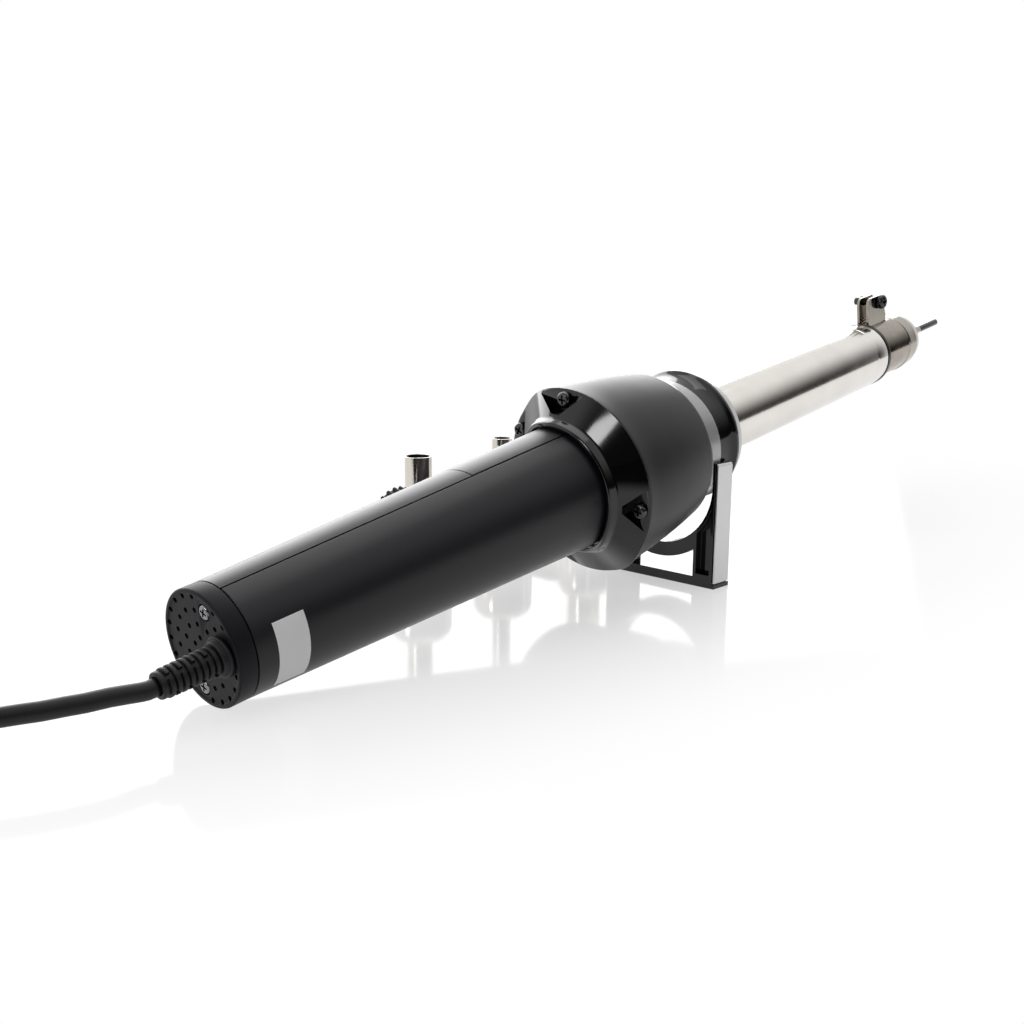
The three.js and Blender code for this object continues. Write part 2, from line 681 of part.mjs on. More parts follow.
// Fan motor on its mount plate, with the impeller in front
const mountRear = housingRear + housingWall + gap;
const motorFront = mountRear - gap;
function motorMount() {
  const plate = pipe(mountRadius, mountBore, mountRear, mountRear + mountThickness, 24);
  const slots = [45, 135, 225, 315].map((angle) => sector([[mountRear - 1, 15], [mountRear + 3, 15],
    [mountRear + 3, 21], [mountRear - 1, 21]], angle - 28, angle + 28, 3));
  return cut(plate, ...slots);
}
add(handset, 'motor_mount', motorMount(), brushedSteel);
const motorBack = motorFront - motorLength;
add(handset, 'fan_motor', turned([[motorBack, 0], [motorBack, motorRadius - 1.5],
  [motorBack + 1.5, motorRadius], [motorFront, motorRadius], [motorFront, motorBossRadius],
  [motorFront + motorBossLength, motorBossRadius], [motorFront + motorBossLength, 0]], 24), brushedSteel);
const shaftFrom = motorFront + motorBossLength + gap;
add(handset, 'motor_shaft', rod(shaftRadius, shaftFrom, shaftFrom + shaftLength, 12), polishedSteel);

const impellerFrom = mountRear + mountThickness + impellerStandOff;
function impeller() {
  const to = impellerFrom + impellerDepth;
  const hub = rod(impellerHub, impellerFrom, to, 18);
  const disc = rod(impellerRadius, impellerFrom, impellerFrom + impellerDisc, 20);
  const half = bladeThickness / 2;
  const blades = Array.from({ length: impellerBlades }, (_, i) =>
    block(impellerFrom + 0.2, to - 1, -half, half, bladeInner, impellerRadius - 0.4)
      .rotateX((i * 2 * Math.PI) / impellerBlades));
  const spokes = Array.from({ length: impellerBlades }, (_, i) =>
    block(impellerFrom + 0.2, impellerFrom + 5, -half, half, 2.5, bladeInner + 1)
      .rotateX((i * 2 * Math.PI) / impellerBlades));
  return cut(join(hub, disc, ...blades, ...spokes), rod(shaftRadius + gap, impellerFrom - 1, to + 1, 16));
}
add(handset, 'fan_impeller', impeller(), impellerGrey);

// Neck ring: a spigot inside the housing, a deep waist that sits in the stand, and a front web
function neckRing() {
  const web = neckFront - neckWeb;
  const bend = (share) => neckShoulder + share * neckShoulderLength;
  const ring = turned([[neckShoulder - neckSpigot, neckSpigotRadius], [neckShoulder, neckSpigotRadius],
    [neckShoulder, neckShoulderRadius], [bend(0.27), neckShoulderRadius - 0.5],
    [bend(0.5), neckShoulderRadius - 2.2], [bend(0.72), neckFloorRadius + 0.5],
    [neckFloorFrom, neckFloorRadius], [neckFloorTo, neckFloorRadius],
    [neckFloorTo + neckFlare * 0.56, neckFloorRadius + 0.45], [neckRimFrom, neckRimRadius],
    [neckFront, neckRimRadius - 0.1], [neckFront, barrelRadius + gap], [web, barrelRadius + gap],
    [web, neckBore], [neckShoulder - neckSpigot, neckBore]], 30);
  const bores = flangeScrewAngles().map((angle) => rod(1.1 + screwClearance, web - 1, neckFront + 1, 10)
    .translate(0, 0, flangeScrewRadius).rotateX(radians(angle)));
  return cut(ring, ...bores);
}

function flangeScrewAngles() {
  return Array.from({ length: flangeScrewCount }, (_, i) => 40 + (i * 360) / flangeScrewCount);
}
add(handset, 'neck_ring', neckRing(), glossBlack);

const flangeRear = neckFront + gap;
const flangeFront = flangeRear + flangeLength;
function frontFlange() {
  const ring = turned([[flangeRear, barrelRadius + gap], [flangeRear, flangeRearRadius],
    [flangeFront - 0.4, flangeFrontRadius], [flangeFront, flangeFrontRadius - 0.4],
    [flangeFront, barrelRadius + gap]], 30);
  const bores = flangeScrewAngles().map((angle) =>
    rod(1.1 + screwClearance, flangeRear - 1, flangeFront + 1, 10)
      .translate(0, 0, flangeScrewRadius).rotateX(radians(angle)));
  return cut(ring, ...bores);
}
add(handset, 'front_flange', frontFlange(), greySteel);

const flangeScrew = screw(flangeScrewHead, 1.4, 1.1, flangeLength + neckWeb + gap + 1).rotateZ(Math.PI);
flangeScrewAngles().forEach((angle, i) => {
  const placed = flangeScrew.clone().translate(flangeFront + gap, 0, flangeScrewRadius);
  add(handset, `flange_screw_${i + 1}`, placed.rotateX(radians(angle)), darkSteel);
});

// Barrel, its end ring, and the heater inside the sleeve that the nozzle seats on
const barrelInner = barrelRadius - barrelWall;
add(handset, 'barrel', turned([[barrelFrom, barrelInner], [barrelTo, barrelInner], [barrelTo, barrelRadius],
  [barrelGrooveAt + 0.4, barrelRadius],
  [barrelGrooveAt, barrelRadius - barrelGrooveDepth], [barrelGrooveAt - 0.4, barrelRadius],
  [barrelFrom, barrelRadius]]), brushedSteel);
const ringFrom = barrelTo + gap;
const ringInner = sleeveRadius + gap;
const ringSpigot = barrelInner - gap;
add(handset, 'barrel_end_ring', turned([[ringFrom - 4, ringInner], [ringFrom + endRingLength, ringInner],
  [ringFrom + endRingLength, barrelRadius + endRingLip], [ringFrom, barrelRadius + endRingLip],
  [ringFrom, ringSpigot], [ringFrom - 4, ringSpigot]]), darkSteel);
add(handset, 'heater_sleeve', pipe(sleeveRadius, sleeveRadius - sleeveWall, barrelFrom + 1, sleeveTo, 32),
  brushedSteel);
add(handset, 'insulating_ring', pipe(ringSpigot, ringInner, barrelFrom + 2, barrelFrom + 8, 24),
  ceramicWhite);
const formerFit = sleeveRadius - sleeveWall - gap;
add(handset, 'heater_former', cut(turned([[formerFrom, 0], [formerFrom, formerFit],
  [formerFrom + formerDisc, formerFit], [formerFrom + formerDisc, formerRadius],
  [formerTo - formerDisc, formerRadius], [formerTo - formerDisc, formerFit],
  [formerTo, formerFit], [formerTo, 0]], 12), ...[0, 90, 180, 270].map((angle) =>
  rod(1.6, formerFrom - 1, formerTo + 1, 8).translate(0, 0, 7.2).rotateX(radians(angle)))), ceramicWhite);

class HeaterHelix extends THREE.Curve {
  getPoint(t, target = new THREE.Vector3()) {
    const from = formerFrom + formerDisc + heaterWire;
    const to = formerTo - formerDisc - heaterWire;
    const radius = formerRadius + heaterStandOff + heaterWire / 2;
    return target.set(from + (to - from) * t, ...around(0, radius, t * heaterTurns * 360).slice(1));
  }
}
const wireSection = new THREE.Shape(circlePoints(heaterWire / 2, 5)
  .map(([x, y]) => new THREE.Vector2(x, y)));
add(handset, 'heater_coil', new THREE.ExtrudeGeometry(wireSection,
  { steps: Math.round(heaterTurns * 7), bevelEnabled: false, extrudePath: new HeaterHelix() }), heaterAlloy);

// Nozzle along +X with its rim at x = 0: a cup with two ears, a domed shoulder and the outlet tube
const cupOuter = sleeveRadius + gap + cupWall;
const cupInner = sleeveRadius + gap;

function nozzleBody({ cup, bead, dome, root, cone, tube, wall, length, shoulder }) {
  const domeTo = cup + dome;
  const outside = shoulder.map(([t, share]) => [cup + dome * t, root + (cupOuter - root) * share]);
  const inside = shoulder.map(([t, share]) => [cup - cupWall + (dome - cupWall) * t,
    root - wall + (cupInner - root) * share]).reverse();
  const coneOutside = cone > 0 ? [[domeTo, root]] : [];
  const coneInside = cone > 0 ? [[domeTo - cupWall, root - wall]] : [];
  const rim = bead > 0 ? [[cup - 0.8, cupOuter], [cup - 0.4, cupOuter + bead]] : [];
  const body = turned([[0, cupInner], [0, cupOuter], ...rim, [cup, cupOuter], ...outside,
    ...coneOutside, [domeTo + cone, tube], [length, tube], [length, tube - wall],
    [domeTo + cone - cupWall, tube - wall], ...coneInside, ...inside, [cup - cupWall * 2, cupInner]],
  nozzleSegments);
  const ears = [-1, 1].map((side) => {
    const base = cupInner - 0.1;
    const top = cupOuter + earHeight;
    const middle = side * (earSpacing + earThickness) / 2;
    const plate = extrudeY([[0.6, base], [0.6, top - 1.4], [earLength * 0.2, top], [earLength * 0.83, top],
      [earLength, cupOuter + 2.4], [earLength, base]], earThickness, middle);
    const hole = extrudeY(circlePoints(clampScrewRadius + screwClearance, 8)
      .map(([x, z]) => [x + clampScrewAt, z + cupOuter + clampScrewHeight]), earThickness + 2, middle);
    return cut(plate, hole);
  });
  const slit = block(-1, earLength + 0.4, -0.7, 0.7, cupInner - 1, cupOuter + 1);
  return cut(join(body, ...ears), slit);
}

// Clamp screw across the ears: head on the -Y side, nut and the thread's free end on the +Y side
function clampScrew() {
  const seat = earSpacing / 2 + earThickness + gap;
  const height = cupOuter + clampScrewHeight;
  return screw(clampHeadRadius, clampHeadHeight, clampScrewRadius, 2 * seat + clampScrewReach)
    .rotateZ(Math.PI / 2).translate(clampScrewAt, -seat, height);
}

function clampNut() {
  const seat = earSpacing / 2 + earThickness + gap;
  const height = cupOuter + clampScrewHeight;
  const nut = cut(rod(clampNutRadius, 0, clampNutHeight, 6),
    rod(clampScrewRadius + gap, -1, clampNutHeight + 1, 12));
  return nut.rotateZ(Math.PI / 2).translate(clampScrewAt, seat, height);
}

const nozzleSeat = new THREE.Group();
nozzleSeat.position.x = ringFrom + endRingLength + gap;
handset.add(nozzleSeat);
add(nozzleSeat, 'nozzle', nozzleBody(fittedNozzle), polishedSteel);
add(nozzleSeat, 'clamp_screw', clampScrew(), darkSteel);
add(nozzleSeat, 'clamp_nut', clampNut(), darkSteel);

for (const spare of spareNozzles) {
  const stood = new THREE.Group();
  stood.rotation.set(0, -Math.PI / 2, 0);
  const turn = new THREE.Group();
  turn.rotation.z = radians(spare.earTurn);
  turn.position.set(spare.along, spareRow, 0);
  turn.add(stood);
  station.add(turn);
  add(stood, `spare_nozzle_${spare.name}`, nozzleBody(spare), polishedSteel);
  add(stood, `spare_screw_${spare.name}`, clampScrew(), darkSteel);
  add(stood, `spare_nut_${spare.name}`, clampNut(), darkSteel);
}

// Stand: a U-shaped frame with a window under the saddle and a silver strip on each side
function saddleArc(radius, fromDegrees, toDegrees, steps) {
  return circlePoints(radius, steps, fromDegrees, toDegrees).map(([y, z]) => [y, z + saddleCentre]);
}

function standBody() {
  const side = standHalfWidth - plateThickness - gap;
  const outline = [[-standHalfWidth, 0], [standHalfWidth, 0], [standHalfWidth, footLip], [side, footLip],
    [side, standHeight - 0.6], [side - 0.4, standHeight], [saddleRadius, standHeight],
    ...saddleArc(saddleRadius, 0, -180, 24), [-saddleRadius, standHeight], [0.4 - side, standHeight],
    [-side, standHeight - 0.6], [-side, footLip], [-standHalfWidth, footLip]];
  const windowAngle = THREE.MathUtils.radToDeg(Math.acos(windowHalfWidth / (saddleRadius + saddleBand)));
  const window = [[windowHalfWidth, footBar],
    ...saddleArc(saddleRadius + saddleBand, -windowAngle, windowAngle - 180, 12),
    [-windowHalfWidth, footBar]];
  const frame = extrudeX(outline, -standThickness / 2, standThickness, [window]);
  const pocketInner = windowHalfWidth + pocketRim;
  const pocketOuter = side - pocketRim;
  const arcAt = (y) => saddleCentre - Math.sqrt((saddleRadius + pocketRim) ** 2 - y * y);
  const middleY = (pocketInner + pocketOuter) / 2;
  const pockets = [-1, 1].flatMap((hand) => [-1, 1].map((face) => {
    const points = [[pocketInner, footBar + pocketRim], [pocketOuter, footBar + pocketRim],
      [pocketOuter, arcAt(pocketOuter)], [middleY, arcAt(middleY) - 0.4], [pocketInner, arcAt(pocketInner)]]
      .map(([y, z]) => [hand * y, z]);
    const from = face * (standThickness / 2 - pocketDepth);
    return extrudeX(points, Math.min(from, from + face * (pocketDepth + 1)), pocketDepth + 1);
  }));
  return cut(frame, ...pockets);
}
add(station, 'stand_body', standBody(), glossBlack);

for (const [name, hand] of [['near', -1], ['far', 1]]) {
  const outline = [[standHalfWidth - plateThickness, footLip + gap], [standHalfWidth, footLip + gap],
    [standHalfWidth, standHeight - 0.8], [standHalfWidth - plateThickness, standHeight - 0.1]]
    .map(([y, z]) => [hand * y, z]);
  add(station, `stand_side_plate_${name}`,
    extrudeX(outline, gap - standThickness / 2, standThickness - 2 * gap), silverPlastic);
}

// Mains lead: free stretch, coil, tail, tie and plug, in the station's own frame
const tieLift = tieThickness + gap;
const cordRadius = cordDiameter / 2;
const lowLayer = cordRadius + tieLift;
const coilOuterRadius = coilInnerRadius + coilPitch * coilTurnsIn;
const coilExitRadius = coilInnerRadius + coilPitch * coilTurnsOut;
const coilCentreY = coilStartY + coilOuterRadius;

handset.updateMatrixWorld(true);
const reliefEnd = panel.localToWorld(new THREE.Vector3(-reliefLength, reliefPlace.y, reliefPlace.z));
const rearward = new THREE.Vector3(-Math.cos(tilt), 0, -Math.sin(tilt));

function sweep(points, sides, steps) {
  const path = new THREE.CatmullRomCurve3(points.map((p) => new THREE.Vector3(...p)), false, 'centripetal');
  const section = new THREE.Shape(circlePoints(cordRadius, sides).map(([x, y]) => new THREE.Vector2(x, y)));
  return new THREE.ExtrudeGeometry(section, { steps, bevelEnabled: false, extrudePath: path });
}

// Points of the coil: in on the low layer, a climb where the spiral turns back, out on the high one
function coilPoints() {
  const points = [[coilCentreX + cordDiameter, coilCentreY - coilOuterRadius, lowLayer],
    [coilCentreX + cordDiameter / 2, coilCentreY - coilOuterRadius, lowLayer]];
  const total = coilTurnsIn + coilTurnsOut;
  const count = Math.round(total * coilTurnSegments);
  for (let i = 0; i <= count; i += 1) {
    const turns = (total * i) / count;
    const fromTurnBack = turns - coilTurnsIn;
    const radius = coilInnerRadius + coilPitch * Math.abs(fromTurnBack);
    const climb = THREE.MathUtils.smoothstep(fromTurnBack, -0.25, 0.25);
    const angle = -Math.PI / 2 - turns * 2 * Math.PI;
    points.push([coilCentreX + radius * Math.cos(angle), coilCentreY + radius * Math.sin(angle),
      lowLayer + climb * coilPitch]);
  }
  const [x, y, z] = points.at(-1);
  points.push([x, y + cordDiameter / 2, z], [x, y + cordDiameter, z]);
  return points;
}

// Tube through given points, one ring of corners at each, square to the path
function tubeThrough(points, radius, sides) {
  const p = points.map((q) => new THREE.Vector3(...q));
  const positions = [];
  const index = [];
  p.forEach((point, i) => {
    const along = p[Math.min(i + 1, p.length - 1)].clone().sub(p[Math.max(i - 1, 0)]).normalize();
    const across = new THREE.Vector3(0, 0, 1).cross(along).normalize();
    const up = along.clone().cross(across);
    circlePoints(radius, sides).forEach(([u, v]) => {
      positions.push(...point.clone().addScaledVector(across, u).addScaledVector(up, v).toArray());
    });
  });
  for (let i = 0; i < p.length - 1; i += 1) {
    for (let j = 0; j < sides; j += 1) {
      const k = (j + 1) % sides;
      const [a, b, c, d] = [i * sides + j, i * sides + k, (i + 1) * sides + k, (i + 1) * sides + j];
      index.push(a, b, c, a, c, d);
    }
  }
  const last = (p.length - 1) * sides;
  for (let j = 1; j < sides - 1; j += 1) index.push(0, j + 1, j, last, last + j, last + j + 1);
  const geometry = new THREE.BufferGeometry();
  geometry.setAttribute('position', new THREE.Float32BufferAttribute(positions, 3));
  geometry.setIndex(index);
  return geometry;
}

// Least gap between stretches of the coil that are more than half a turn apart
function leastCoilGap(points) {
  const p = points.map((q) => new THREE.Vector3(...q));
  const apart = Math.round(coilTurnSegments / 2);
  let least = Infinity;
  for (let i = 0; i < p.length - 1; i += 1) {
    for (let j = i + apart; j < p.length - 1; j += 1) {
      const near = new THREE.Vector3();
      new THREE.Line3(p[j], p[j + 1]).closestPointToPoint(p[i], true, near);
      least = Math.min(least, near.distanceTo(p[i]));
    }
  }
  return least - cordDiameter;
}

const coil = coilPoints();
console.log(`least gap in the cord coil: ${leastCoilGap(coil).toFixed(2)} mm`);
add(station, 'cord_coil', tubeThrough(coil, cordRadius, coilSides), rubberBlack);

const leadStart = reliefEnd.clone().addScaledVector(rearward, gap);
const coilStart = [coil[0][0] + gap, coil[0][1], coil[0][2]];
const leadPoints = [leadStart.toArray(), leadStart.clone().addScaledVector(rearward, 2).toArray(),
  ...leadRoute, [coilStart[0] + cordDiameter / 2, coilStart[1], coilStart[2]], coilStart];
add(station, 'cord_lead', sweep(leadPoints, cordSides, cordSteps), rubberBlack);

const tailStart = [coil.at(-1)[0], coil.at(-1)[1] + gap, coil.at(-1)[2]];
const plugHeight = plugThickness / 2;
const plugY = tailStart[1] + tailLength + gap;
const tailPoints = [tailStart, [tailStart[0], tailStart[1] + tailLength * 0.4, tailStart[2] - 0.4],
  [tailStart[0], tailStart[1] + tailLength * 0.7, plugHeight + 0.1],
  [tailStart[0], tailStart[1] + tailLength, plugHeight]];
add(station, 'cord_tail', sweep(tailPoints, cordSides, 3), rubberBlack);

// Tie: a band around all the turns on the side away from the lead
function tie() {
  const inner = coilInnerRadius - cordRadius - tieLift;
  const outer = coilExitRadius + cordRadius + tieLift;
  const top = lowLayer + coilPitch + cordRadius + tieLift;
  const band = block(inner, outer, -tieWidth / 2, tieWidth / 2, 0, top);
  const room = block(inner + tieThickness, outer - tieThickness, -tieWidth, tieWidth, tieThickness,
    top - tieThickness);
  return cut(band, room).rotateZ(Math.PI / 3).translate(coilCentreX, coilCentreY, 0);
}
add(station, 'cord_tie', tie(), rubberBlack);

const plug = new THREE.Group();
plug.position.set(tailStart[0], plugY, plugHeight);
plug.rotation.z = Math.PI / 2;
station.add(plug);
const plugFront = plugReliefLength + plugLength;
const plugSleeve = turned([[0, 0], [0, plugReliefRadius - 0.6], [plugReliefLength + 1, plugReliefRadius],
  [plugReliefLength + 1, 0]], 12);
const plugBlock = extrudeZ([[plugReliefLength, -6], [plugReliefLength + 6, -plugWidth / 2],
  [plugFront, -plugWidth / 2], [plugFront, plugWidth / 2], [plugReliefLength + 6, plugWidth / 2],
  [plugReliefLength, 6]], -plugThickness / 2, plugThickness);
add(plug, 'plug_body', join(plugSleeve, plugBlock), rubberBlack);
for (const [name, hand] of [['left', -1], ['right', 1]]) {
  add(plug, `plug_pin_${name}`, rod(pinRadius, plugFront + gap, plugFront + pinLength, 12)
    .translate(0, (hand * pinSpacing) / 2, 0), polishedSteel);
}

export default station;
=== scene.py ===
"""Hot air tool resting nose up in its stand, with three spare nozzles and its mains lead."""
import logging
import math
from dataclasses import dataclass, replace
from enum import Enum
from typing import Callable, Iterable, Sequence

import bmesh
import bpy
from mathutils import Matrix, Vector


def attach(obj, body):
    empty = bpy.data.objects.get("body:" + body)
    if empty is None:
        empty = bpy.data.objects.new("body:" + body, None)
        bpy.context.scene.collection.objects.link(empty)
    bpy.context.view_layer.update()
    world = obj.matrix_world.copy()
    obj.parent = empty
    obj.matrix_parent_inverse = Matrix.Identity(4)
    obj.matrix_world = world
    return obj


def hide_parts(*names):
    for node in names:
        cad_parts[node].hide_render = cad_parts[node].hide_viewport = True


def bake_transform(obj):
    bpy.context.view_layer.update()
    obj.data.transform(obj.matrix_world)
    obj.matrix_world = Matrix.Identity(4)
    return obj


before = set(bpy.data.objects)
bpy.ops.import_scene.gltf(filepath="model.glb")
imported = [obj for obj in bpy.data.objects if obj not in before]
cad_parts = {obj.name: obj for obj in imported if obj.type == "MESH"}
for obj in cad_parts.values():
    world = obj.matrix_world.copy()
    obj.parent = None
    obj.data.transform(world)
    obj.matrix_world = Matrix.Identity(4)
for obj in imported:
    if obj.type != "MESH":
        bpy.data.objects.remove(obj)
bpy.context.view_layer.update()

MM = 0.001
LOG = logging.getLogger("hot_air_tool")
GAP = 0.3
NOISE_LOW, NOISE_HIGH = 0.3, 0.7
WHITE = (1.0, 1.0, 1.0, 1.0)

Outline = list[tuple[float, float]]
Triple = tuple[float, float, float]
Mesh = bpy.types.Mesh
Piece = bpy.types.Object
Socket = bpy.types.NodeSocket


# Places


@dataclass(frozen=True)
class GunAxis:
    """The gun's own line, and the places on it that several pieces share. Millimetres and degrees."""

    tilt: float = 9.9
    rest: float = 186.38
    rear_height: float = 15.0131
    panel_turn: float = -72.0
    relief: Triple = (0.0, -9.0, 0.4)
    relief_length: float = 17.5
    knob: float = 78.9
    lens: float = 64.0
    switch: float = 48.0
    nozzle_seat: float = 320.3

    def handset(self) -> Matrix:
        """Place of the handset: X runs from the rear cap to the nozzle."""
        rest = (-self.rest * math.cos(math.radians(self.tilt)), 0.0, self.rear_height)
        return Matrix.Translation(rest) @ turn(-self.tilt, "Y")

    def panel(self) -> Matrix:
        """Place of the handle's shells, turned so that Z points out of the control cover."""
        return self.handset() @ turn(self.panel_turn)

    def nozzle(self) -> Matrix:
        """Place of the fitted nozzle's rim."""
        return self.handset() @ shift(self.nozzle_seat)


def shift(x: float = 0.0, y: float = 0.0, z: float = 0.0) -> Matrix:
    """A plain move in millimetres."""
    return Matrix.Translation((x, y, z))


def turn(degrees: float, axis: str = "X") -> Matrix:
    """A plain turn about an axis."""
    return Matrix.Rotation(math.radians(degrees), 4, axis)


GUN = GunAxis()
HANDSET = GUN.handset()
PANEL = GUN.panel()
TABLE = Matrix.Identity(4)
ALONG_X = Matrix(((0, 0, 1, 0), (1, 0, 0, 0), (0, 1, 0, 0), (0, 0, 0, 1)))
ALONG_Y = Matrix(((1, 0, 0, 0), (0, 0, -1, 0), (0, 1, 0, 0), (0, 0, 0, 1)))
UPRIGHT = turn(-90.0, "Y")


# Shapes


class Join(Enum):
    """What the tools of a Boolean do to its body."""

    CUT = "DIFFERENCE"
    UNITE = "UNION"


def smoothed(share: float) -> float:
    """Eases a share, held between 0 and 1, in and out."""
    share = min(max(share, 0.0), 1.0)
    return share * share * (3 - 2 * share)


def rounded(corners: Iterable[Triple], steps: int = 5) -> Outline:
    """Rounds the corners of a closed outline.

    Args:
        corners: (x, y, radius) of each corner in order.
        steps: flats in each rounded corner.

    Returns:
        The outline's points.
    """
    corners = list(corners)
    points: Outline = []
    for i, (x, y, radius) in enumerate(corners):
        here = Vector((x, y))
        back = Vector(corners[i - 1][:2]) - here
        on = Vector(corners[(i + 1) % len(corners)][:2]) - here
        angle = back.angle(on, math.pi)
        if radius <= 0 or angle > math.radians(178):
            points.append((x, y))
            continue
        reach = min(radius / math.tan(angle / 2), back.length * 0.49, on.length * 0.49)
        radius = reach * math.tan(angle / 2)
        middle = here + (back.normalized() + on.normalized()).normalized() * radius / math.sin(angle / 2)
        start = here + back.normalized() * reach - middle
        end = here + on.normalized() * reach - middle
        first = math.atan2(start.y, start.x)
        sweep = (math.atan2(end.y, end.x) - first + math.pi) % (2 * math.pi) - math.pi
        for k in range(steps + 1):
            a = first + sweep * k / steps
            points.append((middle.x + radius * math.cos(a), middle.y + radius * math.sin(a)))
    return points


def rectangle(x0: float, x1: float, y0: float, y1: float, radius: float = 0.0, steps: int = 5) -> Outline:
    """A rectangle with rounded corners."""
    return rounded([(x0, y0, radius), (x1, y0, radius), (x1, y1, radius), (x0, y1, radius)], steps)


def circle(radius: float, count: int = 48) -> Outline:
    """Points of a circle."""
    return arc((0.0, 0.0), radius, 0.0, 360.0, count)[:-1]


def arc(centre: tuple[float, float], radius: float, start: float, end: float, steps: int) -> Outline:
    """Points of an arc, from one angle to another in degrees."""
    angles = [math.radians(start + (end - start) * i / steps) for i in range(steps + 1)]
    return [(centre[0] + radius * math.cos(a), centre[1] + radius * math.sin(a)) for a in angles]


def smooth_through(points: Sequence[Vector], count: int) -> list[Vector]:
    """A smooth line through given points.

    Args:
        points: the points.
        count: steps along each stretch between two of them.

    Returns:
        Points on the line, with both ends.
    """
    ends = [points[0] * 2 - points[1], *points, points[-1] * 2 - points[-2]]
    line = []
    for i in range(len(points) - 1):
        p0, p1, p2, p3 = ends[i:i + 4]
        d0, d1, d2 = (max((b - a).length, 1e-9) ** 0.5 for a, b in ((p0, p1), (p1, p2), (p2, p3)))
        m1 = ((p1 - p0) / d0 - (p2 - p0) / (d0 + d1) + (p2 - p1) / d1) * d1
        m2 = ((p2 - p1) / d1 - (p3 - p1) / (d1 + d2) + (p3 - p2) / d2) * d1
        for t in (k / count for k in range(count)):
            line.append(p1 + m1 * t + (p1 * -3 + p2 * 3 - m1 * 2 - m2) * t ** 2
                        + (p1 * 2 - p2 * 2 + m1 + m2) * t ** 3)
    return [*line, points[-1].copy()]


def mesh_of(bm: bmesh.types.BMesh, closed: bool = False) -> Mesh:
    """Turns a bmesh into a mesh and frees it.

    Args:
        bm: the bmesh.
        closed: first merges doubles and turns the faces outwards.

    Returns:
        The mesh.
    """
    if closed:
        bmesh.ops.remove_doubles(bm, verts=bm.verts, dist=1e-4)
        bmesh.ops.dissolve_degenerate(bm, edges=bm.edges, dist=1e-5)
        bmesh.ops.recalc_face_normals(bm, faces=bm.faces)
    mesh = bpy.data.meshes.new("shape")
    bm.to_mesh(mesh)
    bm.free()
    return mesh


def lofted(rows: Sequence[Sequence[Sequence[float]]], ring: bool = False) -> Mesh:
    """Joins rows of points, each a closed outline, into a solid.

    Args:
        rows: the points of each row.
        ring: joins the last row to the first, where otherwise both are capped.

    Returns:
        The closed mesh.
    """
    bm = bmesh.new()
    made = [[bm.verts.new(point) for point in row] for row in rows]
    for row in () if ring else (made[0][::-1], made[-1]):
        bm.faces.new(row)
    for one, two in zip(made, made[1:] + made[:1] if ring else made[1:]):
        for corners in zip(one, one[1:] + one[:1], two[1:] + two[:1], two):
            bm.faces.new(corners)
    return mesh_of(bm, closed=True)


def turned(outline: Outline, segments: int = 160, start: float = 0.0, sweep: float = 360.0) -> Mesh:
    """Turns a closed outline about X.

    Args:
        outline: (along, radius) points.
        segments: flats round the sweep.
        start: first angle in degrees, from +Z towards -Y.
        sweep: degrees turned; 360 closes on itself.

    Returns:
        The closed mesh.
    """
    full = sweep == 360.0
    angles = [math.radians(start + sweep * j / segments) for j in range(segments + (not full))]
    return lofted([[(x, -r * math.sin(a), r * math.cos(a)) for x, r in outline] for a in angles], full)


def prism(outline: Outline, low: float, high: float, axes: Matrix = TABLE) -> Mesh:
    """Extrudes a flat outline from low to high, with its plane turned by axes."""
    return moved(lofted([[(x, y, z) for x, y in outline] for z in (low, high)]), axes)


def tube(line: Sequence[Vector], radius: float, sides: int = 20) -> Mesh:
    """A closed tube along a line.

    Args:
        line: the points that it follows.
        radius: its radius.
        sides: flats round it.

    Returns:
        The mesh.
    """
    across = None
    rows = []
    for i, point in enumerate(line):
        ahead = (line[min(i + 1, len(line) - 1)] - line[max(i - 1, 0)]).normalized()
        if across is None:
            across = ahead.orthogonal().normalized()
        across = (across - ahead * across.dot(ahead)).normalized()
        other = ahead.cross(across)
        rows.append([point + across * x + other * y for x, y in circle(radius, sides)])
    return lofted(rows)


def moved(mesh: Mesh, place: Matrix) -> Mesh:
    """A copy of a mesh in another place.

    Args:
        mesh: the mesh.
        place: the move.

    Returns:
        The copy.
    """
    copy = mesh.copy()
    copy.transform(place)
    return copy


def joined(*meshes: Mesh) -> Mesh:
    """Several meshes as one, without cutting them into each other.

    Args:
        *meshes: the meshes.

    Returns:
        The whole.
    """
    bm = bmesh.new()
    for mesh in meshes:
        bm.from_mesh(mesh)
    return mesh_of(bm)


def shown(name: str, data: bpy.types.ID) -> Piece:
    """Adds an object to the scene.

    Args:
        name: the object's name.
        data: its mesh, camera or lamp.

    Returns:
        The object.
    """
    obj = bpy.data.objects.new(name, data)
    bpy.context.scene.collection.objects.link(obj)
    return obj


def settled(obj: Piece) -> Mesh:
    """Takes the plain mesh that an object's modifiers give, and removes the object.

    Args:
        obj: a working object with its modifiers.

    Returns:
        The evaluated mesh.
    """
    bpy.context.view_layer.update()
    depsgraph = bpy.context.evaluated_depsgraph_get()
    mesh = bpy.data.meshes.new_from_object(obj.evaluated_get(depsgraph),
                                           preserve_all_data_layers=True, depsgraph=depsgraph)
    obj.modifiers.clear()
    bpy.data.objects.remove(obj)
    return mesh


def combined(body: Mesh, tools: Sequence[Mesh], how: Join = Join.CUT) -> Mesh:
    """Cuts tools from a body, or unites them with it.

    Args:
        body: the closed mesh to work on.
        tools: closed meshes.
        how: what they do.

    Returns:
        The new mesh.
    """
    obj = shown("working", body)
    helpers = [shown("tool", tool) for tool in tools]
    for helper in helpers:
        modifier = obj.modifiers.new("tool", "BOOLEAN")
        modifier.operation, modifier.solver, modifier.object = how.value, "EXACT", helper
    mesh = settled(obj)
    for helper in helpers:
        bpy.data.objects.remove(helper)
    return mesh


